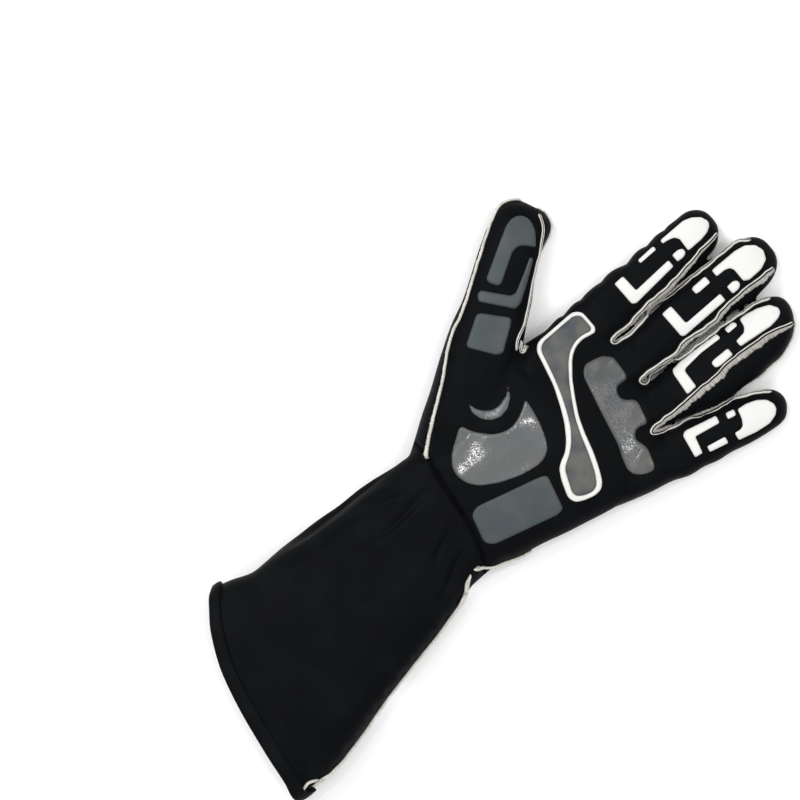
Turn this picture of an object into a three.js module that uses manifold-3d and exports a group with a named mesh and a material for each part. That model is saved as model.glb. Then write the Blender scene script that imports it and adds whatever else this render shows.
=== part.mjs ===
// A left-hand karting glove with a long flared gauntlet, lying palm up with its fingers spread.
// The glove is a hollow cloth shell sewn from a palm panel, a back panel, side strips
// (fourchettes) between the fingers, a thumb gusset, a gauntlet panel on the palm side, another
// on the back and a hem band. The seams are sewn outside, so each one stands up as a narrow
// rib, and silicone grips lie on the palm side.
// Millimetres, +Z up. The origin is on the resting plane under the middle of the wrist, +Y runs
// towards the fingertips and +X towards the little finger.
import * as THREE from "three";
import { mergeVertices } from "three/addons/utils/BufferGeometryUtils.js";
import Module from "manifold-3d";

const wasm = await Module();
wasm.setup();

// Cloth and trim
const clothWall = 1.8;
const pieceGap = 0.3;
const seamRibWidth = 1.8;
const seamRibHeight = 1.9;
const gripThickness = 0.9;
const boneGripBorder = 2.3;
const hemBandWidth = 6.5;
const hemExtraThickness = 0.7;

// Hand and gauntlet
const palmLength = 100;
const palmWidth = 100;
const palmHeight = 28;
const wristWidth = 70;
const cuffLength = 150;
const hemWidth = 108.5;
const cuffHeight = 34;

// Seam plane between the palm side and the back, which leans towards the little finger
const seamHeight = 7.2;
const seamLean = 0.06;

// How each width is shared between the thumb side (left) and the little finger side (right)
const palmThumbShare = 0.42;
const wristThumbShare = 0.55;
const hemThumbShare = 0.487;

// Form of a cross-section
const sectionPower = 2.4;
const widestShare = 0.42;
const soleFlattening = 1.25;
const bodySides = 16;
const digitSides = 10;

// Digits: the root is in shares of the palm's width and length, heading turns from +Y towards
// +X, and each row gives the two half-widths as shares of half the digit's width.
const digits = {
  index: {
    root: { across: -0.287, along: 0.85 },
    heading: 0.8,
    length: 112.7,
    width: 25,
    height: 18,
    rows: [
      { along: 0, left: 0.95, right: 1, rise: 1.05 },
      { along: 0.32, left: 1, right: 1.02, rise: 1.05 },
      { along: 0.5, left: 0.98, right: 1, rise: 1 },
      { along: 0.68, left: 0.97, right: 0.98, rise: 0.97 },
      { along: 0.85, left: 1, right: 1.03, rise: 0.95 },
    ],
  },
  middle: {
    root: { across: -0.048, along: 0.9 },
    heading: 3.8,
    length: 120.1,
    width: 27,
    height: 18.5,
    rows: [
      { along: 0, left: 0.86, right: 0.86, rise: 1.03 },
      { along: 0.3, left: 0.86, right: 0.87, rise: 1.03 },
      { along: 0.5, left: 0.99, right: 0.97, rise: 1 },
      { along: 0.7, left: 1.02, right: 0.97, rise: 0.97 },
      { along: 0.86, left: 1.04, right: 0.98, rise: 0.95 },
    ],
  },
  ring: {
    root: { across: 0.193, along: 0.88 },
    heading: 5.5,
    length: 110.6,
    width: 29,
    height: 18,
    rows: [
      { along: 0, left: 0.75, right: 0.72, rise: 1.05 },
      { along: 0.22, left: 0.77, right: 0.88, rise: 1.05 },
      { along: 0.38, left: 0.82, right: 1.21, rise: 1.02 },
      { along: 0.6, left: 0.86, right: 1.27, rise: 0.97 },
      { along: 0.84, left: 0.88, right: 1.16, rise: 0.94 },
    ],
  },
  little: {
    root: { across: 0.422, along: 0.85 },
    heading: 13.9,
    length: 82.5,
    width: 23.4,
    height: 17,
    rows: [
      { along: 0, left: 0.95, right: 1.02, rise: 1.08 },
      { along: 0.3, left: 0.96, right: 1, rise: 1.06 },
      { along: 0.55, left: 0.94, right: 0.96, rise: 1 },
      { along: 0.8, left: 1.06, right: 1.05, rise: 0.97 },
    ],
  },
  thumb: {
    root: { across: -0.2, along: 0.2 },
    heading: -35,
    length: 135.5,
    width: 32,
    height: 22,
    rows: [
      { along: 0, left: 1.38, right: 1, rise: 1.1 },
      { along: 0.16, left: 1.35, right: 1.02, rise: 1.16 },
      { along: 0.3, left: 1.26, right: 1.03, rise: 1.16 },
      { along: 0.5, left: 1.12, right: 1.04, rise: 1.08 },
      { along: 0.69, left: 0.88, right: 1.04, rise: 0.96 },
      { along: 0.87, left: 0.85, right: 0.94, rise: 0.86 },
    ],
  },
};
const tipSteps = 3;
const tipBluntness = 0.15;

// Hand and cuff sections. Spread runs from the wrist's edge (0) to the palm's or hem's edge (1).
const handRows = [
  { along: 0.1, left: 0.05, right: 0.1, rise: 0.89 },
  { along: 0.25, left: 0.3, right: 0.25, rise: 0.97 },
  { along: 0.45, left: 0.55, right: 0.46, rise: 1 },
    { along: 0.8, left: 1, right: 0.75, rise: 0.91 },
  { along: 0.93, left: 0.95, right: 0.88, rise: 0.8 },
  { along: 1.06, left: 0.85, right: 0.86, rise: 0.7 },
  { along: 1.22, left: 0.4, right: 0.85, rise: 0.62 },
];
const cuffRows = [
  { along: 0, left: 0, right: 0, rise: 0.72 },
  { along: 0.1, left: 0.16, right: -0.02, rise: 0.72 },
  { along: 0.2, left: 0.28, right: 0.14, rise: 0.76 },
  { along: 0.38, left: 0.41, right: 0.38, rise: 0.84 },
  { along: 0.57, left: 0.5, right: 0.61, rise: 0.92 },
  { along: 0.65, left: 0.69, right: 0.72, rise: 0.95 },
  { along: 0.71, left: 0.95, right: 0.83, rise: 0.97 },
  { along: 0.79, left: 1, right: 0.96, rise: 0.99 },
  { along: 0.87, left: 1, right: 1, rise: 1 },
  { along: 1.08, left: 1, right: 0.96, rise: 1 },
];

// Crotches between the fingers, in shares of the palm's width and length
const crotches = {
  index_middle: { left: "index", right: "middle", across: -0.148, along: 1.21 },
  middle_ring: { left: "middle", right: "ring", across: 0.093, along: 1.19 },
  ring_little: { left: "ring", right: "little", across: 0.327, along: 1.07 },
};
const crotchDepth = 2.2;

// Plan geometry
const widthSides = (width, thumbShare) => ({
  left: width * thumbShare,
  right: width * (1 - thumbShare),
});
const palmSides = widthSides(palmWidth, palmThumbShare);
const wristSides = widthSides(wristWidth, wristThumbShare);
const hemSides = widthSides(hemWidth, hemThumbShare);
const onPalm = ({ across, along }) =>
  new THREE.Vector2(across * palmWidth, along * palmLength);

function digitFrame(digit) {
  const turn = THREE.MathUtils.degToRad(digit.heading);
  return {
    root: onPalm(digit.root),
    forward: new THREE.Vector2(Math.sin(turn), Math.cos(turn)),
    side: new THREE.Vector2(Math.cos(turn), -Math.sin(turn)),
  };
}

// A point of a digit: across in half-widths from its centreline, along in lengths from its root.
function onDigit(digit, { across, along }) {
  const { root, forward, side } = digitFrame(digit);
  return root
    .clone()
    .addScaledVector(side, (across * digit.width) / 2)
    .addScaledVector(forward, along * digit.length);
}

// One ring of a cross-section in its own frame: x across and z up. The top is a soft
// superellipse, and the underside is the same curve pressed flat on the resting plane.
function sectionRing(left, right, rise, offset, sides, shrink = 1) {
  const power = 2 / sectionPower;
  const middle = rise * widestShare;
  const floor = Math.max(0, -offset);
  const ring = [];
  for (let i = 0; i < sides; i++) {
    const angle = (i / sides) * 2 * Math.PI;
    const across = Math.abs(Math.cos(angle)) ** power;
    const up = Math.abs(Math.sin(angle)) ** power;
    const half = (Math.cos(angle) > 0 ? right : left) + offset;
    const x = Math.sign(Math.cos(angle)) * half * across * shrink;
    const z =
      Math.sin(angle) >= 0
        ? middle + (rise + offset - middle) * up * shrink
        : middle - (middle + offset) * soleFlattening * up * shrink;
    ring.push([x, Math.max(floor, z)]);
  }
  return ring;
}

// A closed solid through rings of 3D points, with a fan over each end.
function loft(rings) {
  const sides = rings[0].length;
  const positions = rings.flat(2);
  const triangles = [];
  const at = (ring, side) => ring * sides + (side % sides);
  for (let r = 0; r + 1 < rings.length; r++)
    for (let s = 0; s < sides; s++) {
      triangles.push(at(r, s), at(r, s + 1), at(r + 1, s + 1));
      triangles.push(at(r, s), at(r + 1, s + 1), at(r + 1, s));
    }
  for (const [ring, first] of [
    [0, true],
    [rings.length - 1, false],
  ]) {
    const centre = positions.length / 3;
    for (let axis = 0; axis < 3; axis++)
      positions.push(rings[ring].reduce((sum, p) => sum + p[axis], 0) / sides);
    for (let s = 0; s < sides; s++) {
      const pair = first ? [at(ring, s + 1), at(ring, s)] : [at(ring, s), at(ring, s + 1)];
      triangles.push(centre, ...pair);
    }
  }
  const geometry = new THREE.BufferGeometry();
  geometry.setAttribute("position", new THREE.Float32BufferAttribute(positions, 3));
  geometry.setIndex(triangles);
  return toSolid(geometry);
}

const solidOf = (vertProperties, triVerts) =>
  new wasm.Manifold(new wasm.Mesh({ numProp: 3, vertProperties, triVerts }));

// A geometry as a solid whose faces point out, whichever way round its triangles were
const mergeTolerance = 1e-4;
function toSolid(geometry) {
  const bare = geometry.clone();
  bare.deleteAttribute("normal");
  bare.deleteAttribute("uv");
  const merged = mergeVertices(bare, mergeTolerance);
  const positions = merged.attributes.position.array;
  const triangles = new Uint32Array(merged.index.array);
  const solid = solidOf(positions, triangles);
  if (solid.volume() > 0) return solid;
  for (let i = 0; i < triangles.length; i += 3)
    [triangles[i + 1], triangles[i + 2]] = [triangles[i + 2], triangles[i + 1]];
  return solidOf(positions, triangles);
}

const join = (solids) => solids.reduce((whole, part) => whole.add(part));
const largest = (solid) =>
  solid.decompose().reduce((best, body) => (body.volume() > best.volume() ? body : best));

// A tall prism over a plan outline given as a list of Vector2.
const prismFloor = -20;
const prismTop = 80;
function prism(outline) {
  const geometry = new THREE.ExtrudeGeometry(new THREE.Shape(outline), {
    depth: prismTop - prismFloor,
    bevelEnabled: false,
  });
  geometry.translate(0, 0, prismFloor);
  return toSolid(geometry);
}

// The hand and cuff as one tube from the hem to past the knuckles
function bodyTube(offset) {
  const sections = [
    ...cuffRows.toReversed().map((row) => ({
      y: -row.along * cuffLength,
      left: THREE.MathUtils.lerp(wristSides.left, hemSides.left, row.left),
      right: THREE.MathUtils.lerp(wristSides.right, hemSides.right, row.right),
      rise: row.rise * cuffHeight,
    })),
    ...handRows.map((row) => ({
      y: row.along * palmLength,
      left: THREE.MathUtils.lerp(wristSides.left, palmSides.left, row.left),
      right: THREE.MathUtils.lerp(wristSides.right, palmSides.right, row.right),
      rise: row.rise * palmHeight,
    })),
  ];
  sections[0].y -= Math.max(0, -offset);
  return loft(
    sections.map(({ y, left, right, rise }) =>
      sectionRing(left, right, rise, offset, bodySides).map(([x, z]) => [x, y, z]),
    ),
  );
}

// The plan region of the hand below the knuckle line, which dips into every crotch and ends on
// a shoulder beside the little finger's crotch, in shares of the palm's size
const littleShoulder = { across: 0.25, drop: 0.07, endDrop: 0.1 };
function handOutline(offset) {
  const knuckles = Object.values(crotches).map(onPalm);
  const inner = knuckles.at(-1);
  const far = 2 * palmWidth;
  const farHem = 2 * cuffLength;
  return [
    new THREE.Vector2(-far, -farHem),
    new THREE.Vector2(far, -farHem),
    new THREE.Vector2(far, inner.y - palmLength * littleShoulder.endDrop + offset),
    new THREE.Vector2(
      inner.x + palmWidth * littleShoulder.across,
      inner.y - palmLength * littleShoulder.drop + offset,
    ),
    ...knuckles.toReversed().map((p) => new THREE.Vector2(p.x, p.y + offset)),
    new THREE.Vector2(-far, knuckles[0].y + offset),
  ];
}

// A digit as a tube whose last part rounds off to the tip
function digitTube(digit, offset) {
  const { root, forward, side } = digitFrame(digit);
  const half = digit.width / 2;
  const last = digit.rows.at(-1);
  const place = (along, ring) =>
    ring.map(([x, z]) => [
      root.x + forward.x * along + side.x * x,
      root.y + forward.y * along + side.y * x,
      z,
    ]);
  const rings = digit.rows.map((row) =>
    place(
      row.along * digit.length,
      sectionRing(row.left * half, row.right * half, row.rise * digit.height, offset, digitSides),
    ),
  );
  const capStart = last.along * digit.length;
  const capLength = digit.length + offset - capStart;
  for (let step = 1; step <= tipSteps; step++) {
    const turn = ((step - tipBluntness) / tipSteps) * (Math.PI / 2);
    rings.push(
      place(
        capStart + capLength * Math.sin(turn),
        sectionRing(
          last.left * half,
          last.right * half,
          last.rise * digit.height,
          offset,
          digitSides,
          Math.cos(turn) ** (2 / sectionPower),
        ),
      ),
    );
  }
  return loft(rings);
}

// The whole glove's outer form, grown or shrunk by an offset
const formCache = new Map();
function gloveForm(offset) {
  if (!formCache.has(offset)) {
    const hand = bodyTube(offset).intersect(prism(handOutline(offset)));
    const tubes = Object.values(digits).map((digit) => digitTube(digit, offset));
    formCache.set(offset, join([hand, ...tubes]));
  }
  return formCache.get(offset);
}
const layer = (inner, outer) => gloveForm(outer).subtract(gloveForm(inner));

// Hem line, in shares of the hem's width from its thumb-side corner and of the cuff's length
const hemRows = [
  { across: -0.2, along: 0.68 },
  { across: 0, along: 0.722 },
  { across: 0.025, along: 0.765 },
  { across: 0.11, along: 0.822 },
  { across: 0.25, along: 0.882 },
  { across: 0.42, along: 0.922 },
  { across: 0.62, along: 0.948 },
  { across: 0.82, along: 0.969 },
  { across: 0.95, along: 0.985 },
  { across: 1.2, along: 1.005 },
];
function aboveHem(shift) {
  const line = hemRows.map(
    ({ across, along }) =>
      new THREE.Vector2(across * hemWidth - hemSides.left, shift - along * cuffLength),
  );
  const far = 3 * palmLength;
  return prism([
    ...line,
    new THREE.Vector2(line.at(-1).x + palmWidth, line.at(-1).y),
    new THREE.Vector2(line.at(-1).x + palmWidth, far),
    new THREE.Vector2(line[0].x - palmWidth, far),
    new THREE.Vector2(line[0].x - palmWidth, line[0].y),
  ]);
}

// Wrist line between the hand's panels and the gauntlet panels, in shares of the palm's size
const wristSeam = [
  { across: -0.6, along: 0.06 },
  { across: -0.4, along: 0.095 },
  { across: -0.32, along: 0.12 },
  { across: -0.18, along: 0.088 },
  { across: 0, along: 0.06 },
  { across: 0.15, along: 0.025 },
  { across: 0.28, along: -0.01 },
  { across: 0.6, along: -0.05 },
];
function aboveWrist(shift) {
  const line = wristSeam.map(onPalm).map((p) => new THREE.Vector2(p.x, p.y + shift));
  const far = 3 * palmLength;
  return prism([
    ...line,
    new THREE.Vector2(line.at(-1).x, far),
    new THREE.Vector2(line[0].x - palmWidth, far),
    new THREE.Vector2(line[0].x - palmWidth, line[0].y),
  ]);
}

// The space above the leaning seam plane, raised by a shift
function aboveSeamPlane(shift) {
  const far = 3 * palmWidth;
  const height = (x) => seamHeight + seamLean * x + shift;
  const profile = [
    new THREE.Vector2(-far, height(-far)),
    new THREE.Vector2(far, height(far)),
    new THREE.Vector2(far, 2 * far),
    new THREE.Vector2(-far, 2 * far),
  ];
  const geometry = new THREE.ExtrudeGeometry(new THREE.Shape(profile), {
    depth: 4 * far,
    bevelEnabled: false,
  });
  geometry.rotateX(Math.PI / 2);
  geometry.translate(0, 2 * far, 0);
  return toSolid(geometry);
}

// Seam paths on the palm side, each in the frame of the digit or palm that it follows
const digitSeams = {
  index_right: [
    { across: 0.54, along: 0.985 },
    { across: 0.68, along: 0.87 },
    { across: 0.75, along: 0.75 },
    { across: 0.85, along: 0.62 },
    { across: 0.82, along: 0.5 },
    { across: 0.93, along: 0.43 },
    { across: 0.98, along: 0.36 },
  ],
  middle_left: [
    { across: -0.6, along: 0.3 },
    { across: -0.74, along: 0.4 },
    { across: -0.88, along: 0.5 },
    { across: -0.93, along: 0.65 },
    { across: -0.93, along: 0.82 },
    { across: -0.85, along: 0.91 },
    { across: -0.7, along: 0.975 },
  ],
  middle_right: [
    { across: 0.52, along: 0.985 },
    { across: 0.6, along: 0.8 },
    { across: 0.62, along: 0.68 },
    { across: 0.7, along: 0.55 },
    { across: 0.7, along: 0.45 },
    { across: 0.78, along: 0.36 },
    { across: 0.76, along: 0.28 },
  ],
  ring_left: [
    { across: -0.76, along: 0.31 },
    { across: -0.79, along: 0.42 },
    { across: -0.81, along: 0.56 },
    { across: -0.81, along: 0.72 },
    { across: -0.79, along: 0.85 },
    { across: -0.62, along: 0.975 },
  ],
  ring_right: [
    { across: 0.58, along: 0.965 },
    { across: 0.38, along: 0.868 },
    { across: 0.33, along: 0.75 },
    { across: 0.39, along: 0.613 },
    { across: 0.52, along: 0.5 },
    { across: 0.56, along: 0.38 },
    { across: 0.66, along: 0.29 },
    { across: 0.64, along: 0.22 },
  ],
  little_left: [
    { across: -0.86, along: 0.33 },
    { across: -0.82, along: 0.42 },
    { across: -0.78, along: 0.52 },
    { across: -0.87, along: 0.65 },
    { across: -0.93, along: 0.78 },
    { across: -0.84, along: 0.9 },
    { across: -0.65, along: 0.97 },
  ],
  thumb_right: [
    { across: 0.7, along: 0.98 },
    { across: 0.92, along: 0.81 },
    { across: 0.93, along: 0.69 },
    { across: 0.92, along: 0.57 },
    { across: 0.9, along: 0.5 },
    { across: 1, along: 0.455 },
  ],
  thumb_left: [
    { across: -0.75, along: 0.96 },
    { across: -0.83, along: 0.88 },
    { across: -0.76, along: 0.78 },
    { across: -0.75, along: 0.66 },
    { across: -0.86, along: 0.52 },
    { across: -0.83, along: 0.4 },
    { across: -0.78, along: 0.28 },
    { across: -0.8, along: 0.14 },
    { across: -0.87, along: 0.04 },
  ],
};
// In shares of the wrist's width and the palm's length
const handEdgeSeam = [
  { across: 0.529, along: 0.2 },
  { across: 0.489, along: 0.1 },
  { across: 0.45, along: 0.03 },
  { across: 0.414, along: -0.03 },
  { across: 0.374, along: -0.075 },
];
// In shares of the cuff's right half-width and of its length
const cuffEdgeSeam = [
  { across: 0.787, along: 0.073 },
  { across: 0.858, along: 0.12 },
  { across: 0.915, along: 0.167 },
  { across: 0.949, along: 0.233 },
  { across: 0.977, along: 0.307 },
  { across: 1.068, along: 0.4 },
];
const handEdgeRoute = handEdgeSeam.map(
  ({ across, along }) => new THREE.Vector2(across * wristWidth, along * palmLength),
);
const cuffEdgeRoute = cuffEdgeSeam.map(({ across, along }) => {
  const halfWidth = THREE.MathUtils.lerp(wristSides.right, hemSides.right, along);
  return new THREE.Vector2(across * halfWidth, -along * cuffLength);
});
const seamOnDigit = (name) =>
  digitSeams[name].map((point) => onDigit(digits[name.split("_")[0]], point));

// A finger seam has two branches that meet at the crotch: down one finger and up the next.
function crotchBranches(crotch) {
  const low = onPalm(crotch);
  low.y -= crotchDepth;
  return [
    [...seamOnDigit(`${crotch.left}_right`), low],
    [low, ...seamOnDigit(`${crotch.right}_left`)],
  ];
}

// A band of a given half-width along an open route in plan
function bandOutline(route, halfWidth) {
  const normals = route.map((point, i) => {
    const before = route[Math.max(0, i - 1)];
    const after = route[Math.min(route.length - 1, i + 1)];
    const run = after.clone().sub(before).normalize();
    return new THREE.Vector2(-run.y, run.x);
  });
  const side = (sign) =>
    route.map((point, i) => point.clone().addScaledVector(normals[i], sign * halfWidth));
  return [...side(1), ...side(-1).reverse()];
}
const bandPrism = (routes, halfWidth) =>
  join(routes.map((route) => prism(bandOutline(route, halfWidth))));

// An outline grown outwards by a distance, or shrunk by a negative one, with mitred corners
function growOutline(outline, distance) {
  const outward = THREE.ShapeUtils.isClockWise(outline) ? -distance : distance;
  const count = outline.length;
  return outline.map((here, i) => {
    const arrive = here.clone().sub(outline[(i + count - 1) % count]).normalize();
    const leave = outline[(i + 1) % count].clone().sub(here).normalize();
    const mitre = new THREE.Vector2(arrive.y + leave.y, -arrive.x - leave.x);
    return here.clone().addScaledVector(mitre, outward / (1 + arrive.dot(leave)));
  });
}

// Plan zones of the cloth that isn't the palm panel's, each grown by a margin
const zoneReach = 40;
const reachFrom = (point, direction) => point.clone().addScaledVector(direction, zoneReach);
function crotchZone(crotch, margin) {
  const [down, up] = crotchBranches(crotch);
  const route = [...down, ...up.slice(1)];
  const left = digitFrame(digits[crotch.left]).forward;
  const right = digitFrame(digits[crotch.right]).forward;
  const outline = [...route, reachFrom(route.at(-1), right), reachFrom(route[0], left)];
  return prism(growOutline(outline, margin));
}
const gussetNotch = { across: 1.2, along: 0.5 };
function thumbGussetZone(margin) {
  const { forward } = digitFrame(digits.thumb);
  const route = seamOnDigit("thumb_right");
  const notch = onDigit(digits.thumb, gussetNotch);
  const beyond = reachFrom(route[0], forward);
  const outline = [...route, notch, new THREE.Vector2(notch.x, beyond.y), beyond];
  return prism(growOutline(outline, margin));
}
function thumbWrapZone(margin) {
  const { side } = digitFrame(digits.thumb);
  const route = seamOnDigit("thumb_left");
  const away = side.clone().negate();
  const outline = [...route, reachFrom(route.at(-1), away), reachFrom(route[0], away)];
  return prism(growOutline(outline, margin)).intersect(aboveWrist(pieceGap / 2 - margin));
}
function wristWrapZone(margin) {
  const route = [...handEdgeRoute, ...cuffEdgeRoute];
  const outline = [
    ...route,
    new THREE.Vector2(palmWidth, route.at(-1).y),
    new THREE.Vector2(palmWidth, route[0].y),
  ];
  return prism(growOutline(outline, margin));
}

// Cloth panels
const halfGap = pieceGap / 2;
const shell = layer(-clothWall, 0).intersect(aboveHem(hemBandWidth + pieceGap));
const palmSide = shell.intersect(aboveSeamPlane(halfGap));
const wraps = join([thumbWrapZone(0), wristWrapZone(0)]);
const wrapClearance = join([thumbWrapZone(pieceGap), wristWrapZone(pieceGap)]);
const crotchNames = Object.keys(crotches);

const solids = {};
const backSide = shell.subtract(aboveSeamPlane(-halfGap)).add(shell.intersect(wraps));
solids.back_panel = largest(backSide.intersect(aboveWrist(halfGap)));
solids.back_gauntlet_panel = largest(backSide.subtract(aboveWrist(-halfGap)));
solids.gauntlet_panel = largest(palmSide.subtract(aboveWrist(-halfGap)).subtract(wrapClearance));
const handSide = palmSide.intersect(aboveWrist(halfGap)).subtract(wrapClearance);
solids.palm_panel = largest(
  [...crotchNames.map((name) => crotchZone(crotches[name], halfGap)), thumbGussetZone(halfGap)].reduce(
    (cloth, zone) => cloth.subtract(zone),
    handSide,
  ),
);
for (const name of crotchNames)
  solids[`fourchette_${name}`] = largest(handSide.intersect(crotchZone(crotches[name], -halfGap)));
solids.thumb_gusset = largest(handSide.intersect(thumbGussetZone(-halfGap)));
solids.hem_band = largest(
  layer(-clothWall, hemExtraThickness).intersect(aboveHem(0)).subtract(aboveHem(hemBandWidth)),
);

// Seam ribs stand on the cloth over the line where two panels meet
const ribLayer = layer(pieceGap, pieceGap + seamRibHeight).intersect(
  aboveHem(hemBandWidth + pieceGap),
);
const ribHalf = seamRibWidth / 2;
const palmRib = (...routes) =>
  ribLayer.intersect(bandPrism(routes, ribHalf)).intersect(aboveSeamPlane(ribHalf + pieceGap));
const edgeRib = (zone) =>
  ribLayer
    .intersect(zone)
    .intersect(aboveSeamPlane(-ribHalf))
    .subtract(aboveSeamPlane(ribHalf));
for (const name of crotchNames) {
  solids[`seam_${name}`] = largest(palmRib(...crotchBranches(crotches[name])));
  solids[`back_seam_${name}`] = largest(edgeRib(crotchZone(crotches[name], -pieceGap)));
}
solids.seam_thumb_inner = largest(palmRib(seamOnDigit("thumb_right")));
solids.seam_thumb_outer = largest(palmRib(seamOnDigit("thumb_left")));
solids.seam_hand_edge = largest(palmRib(handEdgeRoute));

// The cuff's side seams run down its two flanks from a given height along it
function flank(side, top) {
  const corners = [
    [0, top],
    [side * hemWidth, top],
    [side * hemWidth, -2 * cuffLength],
    [0, -2 * cuffLength],
  ];
  return prism(corners.map(([x, y]) => new THREE.Vector2(x, y)));
}
const cuffSeamLap = 10;
solids.seam_cuff_edge = largest(
  ribLayer
    .intersect(bandPrism([cuffEdgeRoute], ribHalf))
    .intersect(aboveSeamPlane(-ribHalf))
    .add(edgeRib(flank(1, cuffEdgeRoute.at(-1).y + cuffSeamLap))),
);
solids.back_seam_cuff = largest(edgeRib(flank(-1, 0)));
solids.back_seam_thumb = largest(edgeRib(thumbGussetZone(-pieceGap)));

// Grips: outlines whose corners are rounded, laid on the palm side
const cornerSteps = 2;
const roundLimit = 0.48;
function roundedOutline(corners, toPlan, unit, inset = 0) {
  const plan = growOutline(corners.map(toPlan), -inset);
  const count = plan.length;
  const shape = new THREE.Shape();
  plan.forEach((corner, i) => {
    const before = plan[(i + count - 1) % count].clone().sub(corner);
    const after = plan[(i + 1) % count].clone().sub(corner);
    const reach = Math.min(
      (corners[i].round ?? 0) * unit,
      before.length() * roundLimit,
      after.length() * roundLimit,
    );
    const start = corner.clone().addScaledVector(before.normalize(), reach);
    const end = corner.clone().addScaledVector(after.normalize(), reach);
    if (i === 0) shape.moveTo(start.x, start.y);
    else shape.lineTo(start.x, start.y);
    if (reach > 0) shape.quadraticCurveTo(corner.x, corner.y, end.x, end.y);
  });
  shape.closePath();
  return shape.getPoints(cornerSteps).slice(0, -1);
}
const seamClearance = bandPrism(
  [...crotchNames.flatMap((name) => crotchBranches(crotches[name])), seamOnDigit("thumb_right")],
  ribHalf + pieceGap,
);
const gripLayer = layer(pieceGap, pieceGap + gripThickness)
  .intersect(aboveSeamPlane(0))
  .subtract(seamClearance);
const grip = (outline) => largest(gripLayer.intersect(prism(outline)));

// Finger prints: one set of four grips, in shares of each finger's print frame. The near side
// (0) carries the tail of the tip grip and the bar, the far side (1) the dot and the bracket's
// stem. Along, the frame has its waist where the tail ends.
const printWaist = 0.56;
const fingerGrips = {
  tip: [
    { across: 0, along: 0.56, round: 0.04 },
    { across: 0.25, along: 0.56, round: 0.04 },
    { across: 0.27, along: 0.7, round: 0.22 },
    { across: 1, along: 0.695, round: 0.1 },
    { across: 1, along: 1, round: 0.62 },
    { across: 0.02, along: 1, round: 0.72 },
  ],
  dot: [
    { across: 0.69, along: 0.56, round: 0.05 },
    { across: 0.98, along: 0.56, round: 0.05 },
    { across: 0.98, along: 0.665, round: 0.16 },
    { across: 0.69, along: 0.665, round: 0.16 },
  ],
  bar: [
    { across: 0, along: 0.31, round: 0.13 },
    { across: 0.24, along: 0.31, round: 0.13 },
    { across: 0.24, along: 0.485, round: 0.03 },
    { across: 0, along: 0.485, round: 0.03 },
  ],
  bracket: [
    { across: 0, along: 0, round: 0.1 },
    { across: 1, along: 0, round: 0.12 },
    { across: 1, along: 0.49, round: 0.03 },
    { across: 0.73, along: 0.49, round: 0.03 },
    { across: 0.73, along: 0.102, round: 0.1 },
    { across: 0, along: 0.102, round: 0.05 },
  ],
};
// Print frames in shares of each digit: where the frame starts, has its waist and ends, the near
// and far sides at the bottom and at the top, and how far the bar slides down.
const printFrames = {
  index: { rise: [0.465, 0.745, 0.964], near: [-0.66, -0.8], far: [0.54, 0.24], barDrop: 0 },
  middle: { rise: [0.47, 0.745, 0.96], near: [-0.6, -0.84], far: [0.55, 0.35], barDrop: 0 },
  ring: { rise: [0.376, 0.695, 0.94], near: [0.43, 0.18], far: [-0.62, -0.74], barDrop: 0 },
  little: { rise: [0.353, 0.632, 0.93], near: [0.56, 0.76], far: [-0.64, -0.5], barDrop: 0.08 },
};
for (const [name, frame] of Object.entries(printFrames)) {
  const digit = digits[name];
  const { lerp } = THREE.MathUtils;
  const [start, waist, end] = frame.rise;
  const climb = (along) =>
    along < printWaist
      ? lerp(start, waist, along / printWaist)
      : lerp(waist, end, (along - printWaist) / (1 - printWaist));
  const toPlan = ({ across, along }) => {
    const near = lerp(...frame.near, along);
    const far = lerp(...frame.far, along);
    return onDigit(digit, { across: lerp(near, far, across), along: climb(along) });
  };
  const printWidth = (Math.abs(frame.far[0] - frame.near[0]) * digit.width) / 2;
  for (const [kind, corners] of Object.entries(fingerGrips)) {
    const drop = kind === "bar" ? frame.barDrop : 0;
    const placed = corners.map((corner) => ({ ...corner, along: corner.along - drop }));
    solids[`${name}_${kind}_grip`] = grip(roundedOutline(placed, toPlan, printWidth));
  }
}

const thumbGrips = {
  tip: [
    { across: -0.53, along: 0.676, round: 0.1 },
    { across: -0.42, along: 0.95, round: 0.55 },
    { across: 0.42, along: 0.952, round: 0.5 },
    { across: 0.75, along: 0.836, round: 0.06 },
    { across: 0.12, along: 0.836, round: 0.24 },
    { across: 0, along: 0.672, round: 0.16 },
  ],
  bracket: [
    { across: -0.65, along: 0.605, round: 0.13 },
    { across: 0.7, along: 0.607, round: 0.2 },
    { across: 0.75, along: 0.808, round: 0.02 },
    { across: 0.66, along: 0.808, round: 0.02 },
    { across: 0.54, along: 0.654, round: 0.1 },
    { across: -0.64, along: 0.649, round: 0.12 },
  ],
  root: [
    { across: -0.63, along: 0.424, round: 0.3 },
    { across: 0.6, along: 0.432, round: 0.3 },
    { across: 0.57, along: 0.572, round: 0.2 },
    { across: -0.64, along: 0.565, round: 0.3 },
  ],
};
for (const [kind, corners] of Object.entries(thumbGrips))
  solids[`thumb_${kind}_grip`] = grip(
    roundedOutline(corners, (p) => onDigit(digits.thumb, p), digits.thumb.width / 2),
  );

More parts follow.
